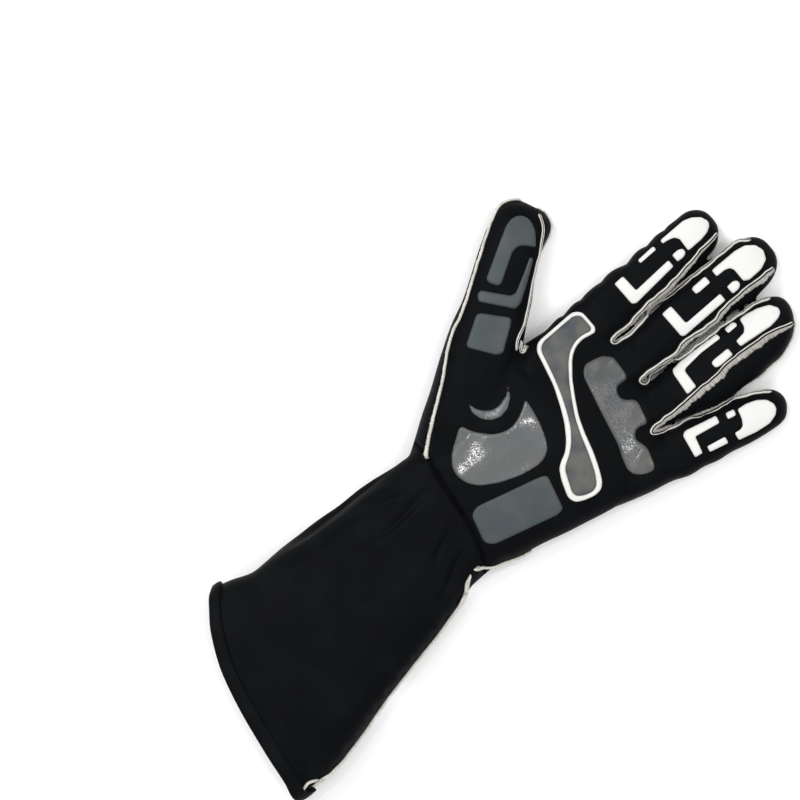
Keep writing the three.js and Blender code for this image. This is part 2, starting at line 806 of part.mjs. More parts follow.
const palmGrips = {
  crescent: [
    { across: -0.335, along: 0.653, round: 0 },
    { across: -0.225, along: 0.62, round: 0.1 },
    { across: -0.232, along: 0.425, round: 0.13 },
    { across: -0.388, along: 0.44, round: 0.03 },
    { across: -0.28, along: 0.455, round: 0.11 },
    { across: -0.275, along: 0.61, round: 0.08 },
  ],
  thenar: [
    { across: -0.223, along: 0.677, round: 0 },
    { across: 0.08, along: 0.63, round: 0.13 },
    { across: 0.075, along: 0.42, round: 0.1 },
    { across: -0.035, along: 0.16, round: 0.13 },
    { across: -0.23, along: 0.155, round: 0.11 },
    { across: -0.325, along: 0.342, round: 0.03 },
    { across: -0.175, along: 0.365, round: 0.13 },
    { across: -0.15, along: 0.6, round: 0.1 },
  ],
  heel: [
    { across: 0.015, along: 0.095, round: 0.05 },
    { across: 0.21, along: 0.035, round: 0.06 },
    { across: 0.338, along: 0.452, round: 0.05 },
    { across: 0.14, along: 0.51, round: 0.05 },
  ],
  bone: [
    { across: -0.393, along: 1.172, round: 0.05 },
    { across: -0.232, along: 1.172, round: 0.03 },
    { across: -0.262, along: 1.01, round: 0.09 },
    { across: -0.1, along: 0.87, round: 0.09 },
    { across: 0.1, along: 0.785, round: 0.06 },
    { across: 0.35, along: 0.695, round: 0.06 },
    { across: 0.385, along: 0.62, round: 0.05 },
    { across: 0.32, along: 0.495, round: 0.05 },
    { across: 0.14, along: 0.565, round: 0.06 },
    { across: 0.05, along: 0.725, round: 0.09 },
    { across: -0.12, along: 0.81, round: 0.1 },
    { across: -0.393, along: 0.868, round: 0.04 },
  ],
  knuckle: [
    { across: -0.152, along: 0.965, round: 0.05 },
    { across: -0.14, along: 1.14, round: 0.07 },
    { across: 0.04, along: 1.127, round: 0.02 },
    { across: 0.03, along: 1.03, round: 0.04 },
    { across: 0.115, along: 1.03, round: 0.035 },
    { across: 0.137, along: 1.087, round: 0.02 },
    { across: 0.27, along: 1.058, round: 0.02 },
    { across: 0.255, along: 0.957, round: 0.035 },
    { across: 0.36, along: 0.972, round: 0.03 },
    { across: 0.472, along: 0.938, round: 0.02 },
    { across: 0.43, along: 0.81, round: 0.07 },
    { across: 0.24, along: 0.868, round: 0.03 },
  ],
};
const palmOutline = (name, inset = 0) =>
  roundedOutline(palmGrips[name], onPalm, palmWidth, inset);
for (const name of ["crescent", "thenar", "heel", "knuckle"])
  solids[`${name}_grip`] = grip(palmOutline(name));

// The bone-shaped grip is a grey centre inside a white border
const boneInset = (distance) => prism(palmOutline("bone", distance));
solids.bone_border_grip = largest(grip(palmOutline("bone")).subtract(boneInset(boneGripBorder)));
solids.bone_grip = grip(palmOutline("bone", boneGripBorder + pieceGap));

// Materials
const cloth = { color: 0x0f1215, roughness: 0.92 };
const finishes = {
  cloth: new THREE.MeshStandardMaterial(cloth),
  hem: new THREE.MeshStandardMaterial({ ...cloth, roughness: 0.88 }),
  seam: new THREE.MeshStandardMaterial({ color: 0xd9d4c8, roughness: 0.95 }),
  whiteGrip: new THREE.MeshStandardMaterial({ color: 0xf0eeea, roughness: 0.45 }),
  greyGrip: new THREE.MeshStandardMaterial({ color: 0x66696b, roughness: 0.25 }),
};
const fingerGrip = /^(index|middle|ring|little)_\w+_grip$/;
function finishOf(name) {
  if (name === "hem_band") return finishes.hem;
  if (/seam_/.test(name)) return finishes.seam;
  if (fingerGrip.test(name) || name === "bone_border_grip") return finishes.whiteGrip;
  return /_grip$/.test(name) ? finishes.greyGrip : finishes.cloth;
}

// Assembly
function toMesh(name, solid) {
  const { vertProperties, triVerts } = solid.getMesh();
  const geometry = new THREE.BufferGeometry();
  geometry.setAttribute("position", new THREE.Float32BufferAttribute(vertProperties, 3));
  geometry.setIndex(new THREE.BufferAttribute(triVerts, 1));
  geometry.computeVertexNormals();
  const mesh = new THREE.Mesh(geometry, finishOf(name));
  mesh.name = name;
  return mesh;
}
const glove = new THREE.Group();
glove.name = "karting_glove";
for (const [name, solid] of Object.entries(solids)) glove.add(toMesh(name, solid));

export default glove;
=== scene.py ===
"""A left-hand karting glove with a long flared gauntlet, lying palm up on a pale floor.

Everything is in the row frame: +Y towards the fingertips, +X towards the little finger, +Z up
out of the palm. Tables and formulas are in millimetres, and meshes are written in metres.
"""

import math

import bpy
import numpy as np
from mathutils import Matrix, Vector
from mathutils.geometry import delaunay_2d_cdt


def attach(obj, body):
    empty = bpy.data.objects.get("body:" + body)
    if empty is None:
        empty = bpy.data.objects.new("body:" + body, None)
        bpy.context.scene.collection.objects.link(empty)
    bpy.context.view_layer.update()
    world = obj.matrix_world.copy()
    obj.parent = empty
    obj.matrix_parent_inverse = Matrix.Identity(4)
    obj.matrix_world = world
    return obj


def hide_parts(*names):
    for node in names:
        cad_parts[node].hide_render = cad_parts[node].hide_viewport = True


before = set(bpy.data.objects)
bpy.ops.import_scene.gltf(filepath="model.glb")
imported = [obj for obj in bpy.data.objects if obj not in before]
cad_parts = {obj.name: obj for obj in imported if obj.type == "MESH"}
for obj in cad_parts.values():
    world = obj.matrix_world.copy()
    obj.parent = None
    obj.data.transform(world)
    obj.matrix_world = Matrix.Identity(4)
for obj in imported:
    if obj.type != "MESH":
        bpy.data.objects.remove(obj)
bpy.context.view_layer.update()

# Cloth. Black knitted fabric, cut as a palm panel, a back panel that runs on down the cuff, side
# strips between the fingers, a thumb gusset and a gauntlet panel. Sewn together they are one soft
# hollow skin about a millimetre thick, puffed where the hand goes and pressed flat underneath.
MM = 0.001
CLOTH_THICKNESS = 1.1
VOXEL = 1.05

# A section's superellipse power, its widest line as a share of its height, and how far the curve
# of the underside would reach below the ground that presses it flat
SECTION_POWER = 2.4
WIDEST = 0.42
SOLE = 1.25

# Height of the side seams where x is 0 and its rise with x, the points' spacing along a seam's
# path, the height that things are dropped from, and a distance that stands for none found
SIDE_HEIGHT = 7.2
SIDE_RISE = 0.06
PATH_STEP = 0.9
DROP_HEIGHT = 60.0
FAR = 999.0

# Each row is a section: x and y of its left end, x and y of its right end, and its height.
LIMBS = {
    "index": [
        (-41.0, 78, -16.0, 78, 22.0), (-41.2, 100, -15.8, 100, 19.5), (-41.3, 119, -15.4, 119, 18.6),
        (-41.4, 135, -15.4, 135, 18.2), (-40.5, 150, -15.2, 150, 17.8), (-40.3, 165, -15.1, 165, 17.2),
        (-40.2, 178, -15.2, 178, 16.5), (-39.7, 187, -16.3, 187, 15.0), (-37.8, 192, -18.6, 192, 12.8),
        (-35.0, 195.4, -21.8, 195.4, 9.6), (-32.0, 197.0, -25.0, 197.0, 6.4),
    ],
    "middle": [
        (-17.0, 80, 10.0, 80, 23.0), (-14.0, 105, 10.2, 105, 20.0), (-13.0, 120, 9.4, 119, 19.0),
        (-12.8, 135, 11.0, 134, 18.6), (-12.8, 150, 11.6, 149, 18.2), (-13.2, 165, 12.6, 164, 18.0),
        (-13.8, 178, 14.0, 177, 17.4), (-13.5, 187, 15.5, 187, 17.0), (-12.2, 197, 14.6, 197, 15.4),
        (-10.0, 203.6, 12.0, 203.4, 12.8), (-6.6, 207.6, 8.8, 207.2, 9.4), (-3.0, 209.4, 5.0, 209.2, 6.4),
    ],
    "ring": [
        (9.0, 80, 35.0, 80, 23.0), (10.8, 100, 34.0, 99, 20.0), (12.0, 112, 34.0, 109, 19.2),
        (12.6, 121, 36.4, 119, 18.6), (13.2, 131, 40.4, 129, 18.4), (13.8, 142, 43.8, 140, 18.2),
        (14.6, 155, 45.4, 153, 17.8), (15.4, 168, 46.0, 166, 17.4), (16.6, 180, 45.5, 178, 16.6),
        (17.6, 187, 43.2, 186.5, 15.4), (19.6, 192.6, 38.8, 192.4, 12.6), (22.6, 196.2, 34.2, 195.8, 9.2),
        (25.6, 197.6, 30.4, 197.4, 6.4),
    ],
    "little": [
        (24.0, 72, 46.6, 62, 17.0), (28.0, 82, 51.2, 74, 20.6), (31.6, 96, 55.9, 91, 20.2),
        (34.6, 107, 60.0, 101.5, 18.6),
        (38.0, 117, 62.4, 111.5, 18.0), (41.4, 126.5, 64.6, 120.5, 17.8), (44.0, 135, 66.4, 129, 17.4),
        (46.4, 144, 68.6, 138.4, 16.8), (49.0, 152.4, 70.6, 146.8, 15.8), (52.2, 159.2, 71.2, 153.6, 14.0),
        (55.6, 163.2, 70.4, 158.8, 11.4), (59.0, 165.2, 68.2, 162.2, 8.4), (61.6, 165.8, 66.0, 164.4, 6.0),
    ],
    "thumb": [
        (-38.0, 4, -12.0, 22, 23.0), (-48.0, 21, -18.0, 42, 25.5), (-58.2, 37.6, -25.0, 58, 26.0),
        (-67.0, 51, -33.0, 70, 25.0), (-73.6, 63, -41.0, 80.6, 23.6), (-79.2, 75.6, -48.6, 91.0, 22.2),
        (-86.0, 87, -56.0, 101.0, 21.0), (-93.0, 98.4, -63.2, 109.4, 20.0),
        (-99.0, 109.4, -69.4, 118.0, 19.0), (-102.2, 117, -73.8, 125.2, 17.4),
        (-102.6, 122.6, -76.4, 131.0, 15.0),
        (-100.4, 127.8, -79.6, 134.4, 12.0), (-97.0, 131.0, -85.4, 135.6, 8.6),
    ],
    "hand": [
        (-39.6, -14, 31.0, -14, 24.0), (-39.0, -4, 31.2, -4, 24.4), (-38.6, 4, 32.2, 4, 25.0),
        (-39.6, 16, 36.2, 16, 26.2), (-41.0, 30, 39.8, 30, 27.4), (-42.0, 45, 43.4, 45, 28.0),
        (-42.6, 60, 46.8, 60, 28.0), (-42.8, 75, 50.2, 75, 26.6), (-42.2, 86, 52.8, 84, 24.0),
        (-41.4, 96, 52.4, 92, 21.6), (-39.0, 104, 48.0, 99, 19.8), (-33.0, 110, 39.0, 106, 18.4),
        (-26.0, 114, 28.0, 112, 15.0),
    ],
    "cuff": [
        (-38.8, 2, 31.6, 2, 24.4), (-39.6, -5, 31.2, -5, 24.2), (-41.0, -14, 31.0, -14, 24.4),
        (-41.8, -23, 33.6, -23, 25.2), (-42.6, -36, 36.2, -36, 27.0), (-44.0, -50, 39.2, -50, 29.0),
        (-44.9, -65, 42.2, -65, 30.6), (-45.5, -80, 45.0, -80, 32.0), (-46.0, -91, 47.2, -91, 32.8),
        (-47.8, -97, 48.6, -97, 33.2), (-50.2, -103, 50.4, -103, 33.5), (-51.8, -109, 52.0, -109, 33.8),
        (-52.4, -116, 53.6, -116, 34.0), (-52.4, -124, 55.0, -124, 34.0), (-52.4, -134, 55.4, -134, 34.0),
        (-52.4, -150, 55.0, -150, 34.0), (-52.4, -164, 54.6, -164, 34.0),
    ],
}
# The webs at the roots of the fingers: centre x and y, half-width, half-length and top height
WEBS = [(-14.2, 110.6, 7.0, 9.0, 17.0), (10.6, 108.6, 7.0, 9.0, 17.5), (32.2, 97.6, 7.5, 9.0, 18.0)]


def curve_through(points, step, closed=False):
    """Points every step along the Catmull-Rom curve through the given points: on each span the
    curve is the cubic that passes both ends with the slope of its neighbours."""
    p = np.asarray(points, float)
    if closed:
        ends = np.vstack([p[-1:], p, p[:2]])
    else:
        ends = np.vstack([2 * p[:1] - p[1:2], p, 2 * p[-1:] - p[-2:-1]])
    a, b, c, d = (ends[k:len(ends) - 3 + k, None, :] for k in range(4))
    t = np.linspace(0, 1, 16, endpoint=False)[None, :, None]
    fine = 0.5 * (2 * b + (c - a) * t + (2 * a - 5 * b + 4 * c - d) * t ** 2
                  + (3 * b - a - 3 * c + d) * t ** 3)
    fine = np.vstack([fine.reshape(-1, p.shape[1]), p[:1] if closed else p[-1:]])
    run = np.concatenate([[0], np.cumsum(np.linalg.norm(np.diff(fine, axis=0), axis=1))])
    at = np.linspace(0, run[-1], max(3, int(round(run[-1] / step)) + 1))
    even = np.stack([np.interp(at, run, fine[:, k]) for k in range(p.shape[1])], axis=1)
    return even[:-1] if closed else even


def grid_faces(rows, columns, wrap_rows=False, wrap_columns=False):
    """Quads of a grid of points numbered row by row."""
    r = np.arange(rows if wrap_rows else rows - 1)[:, None]
    c = np.arange(columns if wrap_columns else columns - 1)[None, :]
    r2, c2 = (r + 1) % rows, (c + 1) % columns
    quads = np.stack(np.broadcast_arrays(r * columns + c, r * columns + c2,
                                         r2 * columns + c2, r2 * columns + c), axis=-1)
    return quads.reshape(-1, 4)


def section_curve(angle, height):
    """Place across, -1 to 1, and height of a section at each angle: a superellipse, each of cos
    and sin to the power 2 / SECTION_POWER, with the underside pressed flat on the ground."""
    across = np.sign(np.cos(angle)) * np.abs(np.cos(angle)) ** (2 / SECTION_POWER)
    up = np.abs(np.sin(angle)) ** (2 / SECTION_POWER)
    middle = height * WIDEST
    z = np.where(np.sin(angle) >= 0, middle + (height - middle) * up,
                 np.maximum(0, middle - middle * SOLE * up))
    return across, z


def section_points(left, right, height, sides):
    """A ring per section, that runs across from the left end to the right along its curve."""
    angle = np.linspace(0, 2 * math.pi, sides, endpoint=False)[None, :]
    across, z = section_curve(angle, height[:, None])
    plan = (left + right)[:, None, :] / 2 + (right - left)[:, None, :] / 2 * across[..., None]
    return np.concatenate([plan, z[..., None]], axis=-1)


def capped(rings):
    """Vertices and faces of a closed tube through rings of points, with a fan on each end."""
    count, sides = rings.shape[:2]
    verts = np.vstack([rings.reshape(-1, 3), rings[0].mean(axis=0), rings[-1].mean(axis=0)])
    quads = grid_faces(count, sides, wrap_columns=True)
    ring = np.arange(sides)
    first = np.stack([ring, np.full(sides, count * sides), (ring + 1) % sides], axis=1)
    last = np.stack([ring, (ring + 1) % sides, np.full(sides, count * sides + 1)], axis=1)
    last[:, :2] += (count - 1) * sides
    return verts, quads.tolist() + first[:, [0, 2, 1]].tolist() + last[:, [1, 0, 2]].tolist()


def make_mesh(name, verts_mm, faces, smooth=True):
    """A mesh object at the origin, with its place in its vertices."""
    mesh = bpy.data.meshes.new(name)
    mesh.from_pydata((np.asarray(verts_mm) * MM).tolist(), [],
                     faces.tolist() if isinstance(faces, np.ndarray) else faces)
    mesh.update()
    if smooth:
        mesh.shade_smooth()
    piece = bpy.data.objects.new(name, mesh)
    bpy.context.scene.collection.objects.link(piece)
    return piece


def evaluated(piece):
    """Vertices in millimetres and quads of a piece with its modifiers applied."""
    bpy.context.view_layer.update()
    mesh = piece.evaluated_get(bpy.context.evaluated_depsgraph_get()).data
    verts = np.empty(len(mesh.vertices) * 3)
    mesh.vertices.foreach_get("co", verts)
    loops = np.empty(len(mesh.loops), dtype=np.int64)
    mesh.loops.foreach_get("vertex_index", loops)
    faces = loops.reshape(-1, 4) if len(loops) == 4 * len(mesh.polygons) else None
    return verts.reshape(-1, 3) / MM, faces


def unit(vectors):
    """Vectors divided by their own lengths."""
    return vectors / np.maximum(np.linalg.norm(vectors, axis=-1, keepdims=True), 1e-9)


def point_normals(verts, quads):
    """Mean of the quads' area vectors, half the cross product of their diagonals, at each point."""
    area = np.cross(verts[quads[:, 2]] - verts[quads[:, 0]], verts[quads[:, 3]] - verts[quads[:, 1]])
    total = np.zeros_like(verts)
    for corner in range(4):
        for axis in range(3):
            total[:, axis] += np.bincount(quads[:, corner], area[:, axis], len(verts))
    return unit(total)


def build_body():
    """All the limbs and webs joined, made one skin by a voxel remesh, then relaxed."""
    verts, faces, offset = [], [], 0
    for rows in LIMBS.values():
        even = curve_through(rows, 2.0)
        v, f = capped(section_points(even[:, 0:2], even[:, 2:4], even[:, 4], 48))
        verts.append(v)
        faces += [[i + offset for i in face] for face in f]
        offset += len(v)
    for x, y, half_width, half_length, top in WEBS:
        t = np.linspace(-0.98, 0.98, 15)
        reach = np.sqrt(1 - t ** 2)
        middle = np.stack([np.full(15, x), y + t * half_length], axis=1)
        side = np.stack([half_width * reach, np.zeros(15)], axis=1)
        v, f = capped(section_points(middle - side, middle + side, top * reach ** 0.5, 32))
        verts.append(v)
        faces += [[i + offset for i in face] for face in f]
        offset += len(v)
    body = make_mesh("body_form", np.vstack(verts), faces)
    remesh = body.modifiers.new("one_skin", "REMESH")
    remesh.mode = "VOXEL"
    remesh.voxel_size = VOXEL * MM
    relax = body.modifiers.new("relax", "SMOOTH")
    relax.factor = 0.5
    relax.iterations = 7
    v, f = evaluated(body)
    bpy.data.objects.remove(body)
    return v, f


def nearest_on_path(xy, path, reach):
    """Distance, side (positive on the path's left) and length run of the nearest point of a plan
    polyline, for the points within reach of its box. The others keep a distance of FAR."""
    distance = np.full(len(xy), FAR)
    side = np.ones(len(xy))
    run = np.zeros(len(xy))
    near = np.all((xy > path.min(axis=0) - reach) & (xy < path.max(axis=0) + reach), axis=1)
    a, b = path[:-1], path[1:]
    step = b - a
    length = np.linalg.norm(step, axis=1)
    start = np.concatenate([[0], np.cumsum(length)[:-1]])
    offset = xy[near, None, :] - a[None]
    t = np.clip((offset * step).sum(-1) / np.maximum(length ** 2, 1e-9), 0, 1)
    away = offset - t[..., None] * step
    gap = np.linalg.norm(away, axis=-1)
    best = gap.argmin(axis=1)
    pick = (np.arange(len(best)), best)
    distance[near] = gap[pick]
    side[near] = np.sign(step[best, 0] * away[pick][:, 1] - step[best, 1] * away[pick][:, 0])
    run[near] = start[best] + t[pick] * length[best]
    return distance, side, run


def smoothstep(low, high, value):
    """0 at low, 1 at high, and t squared times (3 - 2 t) between."""
    t = np.clip((value - low) / (high - low), 0, 1)
    return t * t * (3 - 2 * t)


def inside(xy, outline):
    """True for the plan points inside an outline: a ray to +X crosses it an odd number of times."""
    x, y = xy[:, :1], xy[:, 1:2]
    a, b = outline, np.roll(outline, -1, axis=0)
    spans = (a[:, 1] > y) != (b[:, 1] > y)
    rise = np.where(b[:, 1] == a[:, 1], 1e-9, b[:, 1] - a[:, 1])
    cross = a[:, 0] + (y - a[:, 1]) * (b[:, 0] - a[:, 0]) / rise
    return (spans & (x < cross)).sum(axis=1) % 2 == 1


# Seams seen from the palm side, in plan, with the width of the raw edge towards the side strip,
# and for a point on the glove's side its height. The palm's cloth lies to the right of their run.
SEAM_PATHS = {
    "index_middle": [
        (-20.0, 195.5, 0.7), (-20.6, 189, 0.7), (-20.2, 181, 1.0), (-18.9, 172, 1.7), (-18.0, 162, 2.4),
        (-17.7, 152, 2.6), (-17.6, 143, 2.2), (-16.9, 135, 1.6), (-16.4, 127, 1.9), (-16.6, 121.5, 1.3),
        (-15.0, 118.0, 0.9), (-12.8, 120.5, 1.1), (-11.8, 125, 1.5), (-11.9, 131, 1.2), (-13.2, 138, 1.4),
        (-14.0, 146, 1.8), (-13.9, 155, 1.6), (-13.4, 164, 1.1), (-12.6, 173, 0.8), (-12.0, 182, 0.7),
        (-12.0, 191, 0.6), (-11.0, 199, 0.6), (-8.8, 204.8, 0.6)],
    "middle_ring": [
        (9.6, 203.4, 2.0), (9.8, 196, 2.4), (9.2, 188, 2.1), (8.9, 180, 1.6), (8.9, 171, 2.0),
        (10.3, 162, 2.5), (9.2, 152, 2.0), (8.4, 145.5, 2.4), (9.7, 138, 1.7), (8.8, 130, 1.0),
        (7.9, 122, 0.8), (8.0, 117.4, 0.6), (9.6, 116.2, 0.6), (11.2, 118, 0.7), (11.2, 126, 0.9),
        (12.0, 133, 0.9), (12.6, 141, 1.0), (13.4, 150, 0.9), (14.4, 160, 0.8), (15.0, 170, 0.7),
        (15.9, 180, 0.7), (17.2, 188, 0.7), (19.4, 193, 0.7)],
    "ring_little": [
        (38.2, 194.2, 0.8), (36.4, 188.5, 1.2), (34.2, 183, 2.3), (32.6, 175, 2.8), (31.6, 165, 2.9),
        (31.3, 155, 2.5), (32.0, 145, 2.9), (31.4, 133, 2.8), (31.6, 121, 2.4), (31.0, 113, 2.1),
        (30.6, 106.5, 1.5), (32.0, 103.2, 1.1), (34.4, 107, 1.7), (37.0, 115, 2.0), (39.6, 122, 1.7),
        (41.8, 129, 1.4), (44.6, 137, 1.0), (46.0, 144, 0.8), (48.2, 152, 0.7), (51.0, 158.5, 0.7),
        (55.6, 163.4, 0.7)],
    "thumb_outer": [
        (-31.6, 10.4, 1.7), (-37.5, 17.5, 1.3), (-45.5, 28.2, 1.2), (-55.2, 42.0, 1.0), (-65.0, 54.2, 0.9),
        (-70.2, 62.0, 0.9), (-75.2, 70.2, 0.9, 19), (-80.4, 78.0, 0.9, 18), (-85.4, 86.2, 0.9, 17),
        (-92.8, 98.2, 0.8, 16), (-98.8, 108.4, 0.7, 14.6), (-101.6, 114.6, 0.6, 13),
        (-103.4, 122, 0.4, 9.5), (-101.6, 127, 0.3, 7.5), (-97.6, 131.4, 0.3, 6.4)],
    "thumb_inner": [
        (-87.0, 132.6, 0.25), (-82.4, 131.0, 0.25), (-78.9, 128.6, 0.25), (-76.2, 125.4, 0.25),
        (-72.6, 120.9, 0.3), (-69.9, 117.0, 0.3), (-63.4, 107.9, 0.35), (-58.0, 101.1, 0.35),
        (-50.2, 90.7, 0.35), (-46.8, 83.6, 0.4), (-42.8, 79.2, 0.5)],
    "hand_edge": [
        (38.6, 20, 0.3, 12), (36.4, 10, 0.9, 12), (33.0, 2.8, 1.2, 13), (29.6, -2.4, 0.5, 16),
        (27.6, -5.2, 1.5, 20), (25.0, -7.8, 1.5)],
    "cuff_edge": [
        (26.0, -10.6, 0.7), (28.6, -14.4, 1.8, 19), (31.2, -20, 2.3, 15.5), (33.4, -26.5, 1.8, 14),
        (36.2, -36, 0.9, 13.5), (39.4, -49, 0.7, 14), (42.4, -64, 0.6, 14.5), (45.4, -79, 0.5, 15),
        (48.4, -94, 0.5, 15.5), (52.0, -106, 0.6, 16), (54.0, -117, 0.8, 17), (55.2, -126, 1.5, 19),
        (54.6, -133, 2.1, 20.5), (53.8, -139, 2.0, 21)],
}
# The seams underneath follow the fingers' lower flanks, tip to crotch to tip. Where one shows from
# above, it has its raw edge's width and the height of the glove's widest line.
UNDER_PATHS = {
    "back_seam_index_middle": [
        (-18.6, 193), (-16.6, 186), (-16.2, 178), (-16.2, 165), (-16.3, 150), (-16.4, 135), (-16.4, 124),
        (-15.4, 118), (-14.2, 116.4), (-13.0, 118), (-12.2, 124), (-12.0, 135), (-12.0, 150), (-12.3, 165),
        (-12.8, 178), (-12.5, 187), (-11.2, 197), (-8.6, 204.4)],
    "back_seam_middle_ring": [
        (10.4, 204.4), (13.4, 197), (14.3, 187), (12.8, 177), (11.6, 164), (10.6, 149), (10.0, 134),
        (9.0, 122), (9.4, 115), (10.6, 113), (11.6, 115), (13.0, 124), (14.2, 134), (14.8, 145),
        (15.6, 156), (16.4, 168), (17.6, 180), (18.6, 187), (20.6, 193)],
    "back_seam_ring_little": [
        (37.6, 195.0, 0.4, 6.2), (42.0, 190.6, 0.5, 6.6), (45.4, 184, 0.5, 7.2), (46.8, 175, 0.4, 7.4),
        (47.0, 165, 0.3, 6.6), (44.6, 153), (42.8, 140), (39.4, 129), (35.6, 119), (33.8, 110),
        (33.0, 104.6), (34.2, 102), (36.2, 105), (38.0, 111), (41.2, 119.6), (43.6, 128), (46.0, 136.6),
        (48.4, 145), (50.8, 153), (54.6, 160)],
    "back_seam_thumb": [
        (-91, 136.0, 0.4, 4.4), (-85.6, 136.6, 1.0, 5.4), (-80.6, 135.2, 1.2, 6.6),
        (-76.6, 131.4, 1.1, 7.0), (-74.2, 126.6, 0.6, 6.0), (-70.4, 119.2), (-63.0, 108.6),
        (-56.0, 99.6), (-49.6, 90.6), (-44.6, 82.0)],
    "back_seam_cuff": [
        (-36.6, 8), (-37.0, 0), (-38.0, -8), (-39.4, -18), (-40.4, -32), (-41.6, -46), (-42.8, -62),
        (-43.4, -80), (-44.2, -92), (-47.4, -101), (-49.4, -108), (-50.0, -113)],
}
WRIST_SEAM = [(-60, 8), (-42, 11), (-31.8, 11.2), (-25, 9.6), (-12, 7.4), (0, 5.9), (10, 3.9), (20, 0.8),
              (28, -2.6), (34, -6), (60, -10)]
HEM_LINE = [(-75, -92), (-56, -103), (-53.4, -107.4), (-51.8, -112.4), (-49.4, -116.4), (-45, -120.2),
            (-37, -126.2), (-25, -132.4), (-15, -136.2), (0, -140.2), (15, -143.2), (30, -145.8),
            (43, -147.8), (50, -149.8), (53.4, -149.6), (55.2, -146), (60, -134), (75, -110)]
HEM_WIDTH = 7.2
paths = {name: curve_through([row[:2] for row in rows], PATH_STEP) for name, rows in SEAM_PATHS.items()}
wrist_path = curve_through(WRIST_SEAM, 1.5)
hem_path = curve_through(HEM_LINE, 1.5)
# Directions in which a side strip runs on past the tips, from its seam's first and last point
STRIP_ENDS = {"index_middle": ((0, 1), (0.05, 1)), "middle_ring": ((0.05, 1), (0.1, 1)),
              "ring_little": ((0.1, 1), (0.25, 1))}

# Folds and creases in plan: the path, the height (a crease is negative) and the half-width.
FOLDS = [
    ([(-29, 2), (-32.0, -10), (-34.0, -22), (-35.4, -37), (-36.0, -50), (-37.6, -64), (-40.6, -79),
      (-44, -94)], 2.6, 3.6),
    ([(-22, -2), (-26.5, -14), (-31.0, -28), (-34.0, -40), (-36.0, -52)], 1.2, 2.8),
    ([(-27.4, -6), (-29.6, -16), (-32.0, -27)], -1.0, 1.5),
    ([(-39.5, -2), (-40.8, -20), (-41.6, -40), (-42.2, -58), (-43.8, -74)], -1.6, 2.2),
    ([(-19.4, 6), (-18.6, -6.2), (-17.4, -22), (-18.0, -40)], -1.2, 1.6),
    ([(-14.8, 6), (-14.6, -6), (-13.6, -22), (-14.0, -42)], 0.8, 2.8),
    ([(-23.4, 5), (-22.8, -8), (-21.6, -26)], 0.7, 2.2),
    ([(0.5, 4), (4.5, -8), (12.5, -26)], -0.9, 1.5),
    ([(4.8, 4), (8.8, -7), (17.8, -25)], 0.6, 2.2),
    ([(-3.5, 4), (0.4, -9), (7.5, -27)], 0.5, 2.2),
    ([(12.5, 0), (18.5, -14), (28, -33)], -1.0, 1.6),
    ([(17.8, -1), (22.8, -12), (31.4, -28)], 0.6, 2.2),
    ([(8.4, -1), (14.6, -15), (24.5, -36)], 0.5, 2.4),
    ([(-8, -1), (-7, -12), (-3, -26)], 0.6, 3.5),
    ([(9, -3), (12, -13), (17, -26)], -0.5, 1.6),
    ([(-12, -60), (2, -88), (18, -118)], 0.9, 9.0),
    ([(24, -45), (30, -75), (34, -105)], -0.8, 8.0),
    ([(-47, 84), (-41, 80), (-34, 77), (-26, 76)], -1.0, 2.2),
    ([(-43, 92), (-36, 90), (-30, 91)], -0.3, 2.5),
    ([(-36, 128), (-28, 126), (-19, 128)], -0.35, 2.0),
    ([(-11, 128), (-2, 125.5), (7, 127)], -0.35, 2.0),
    ([(14, 116), (22, 113), (30, 115)], -0.3, 2.0),
    ([(40, 109), (49, 103), (58, 103)], -0.35, 2.0),
    ([(42, 70), (44, 84), (49, 94)], -0.3, 3.0),
    ([(-30, 24), (-22, 44), (-20, 60)], 0.5, 7.0),
    ([(-6, 26), (2, 44), (0, 58)], -0.4, 6.0),
]


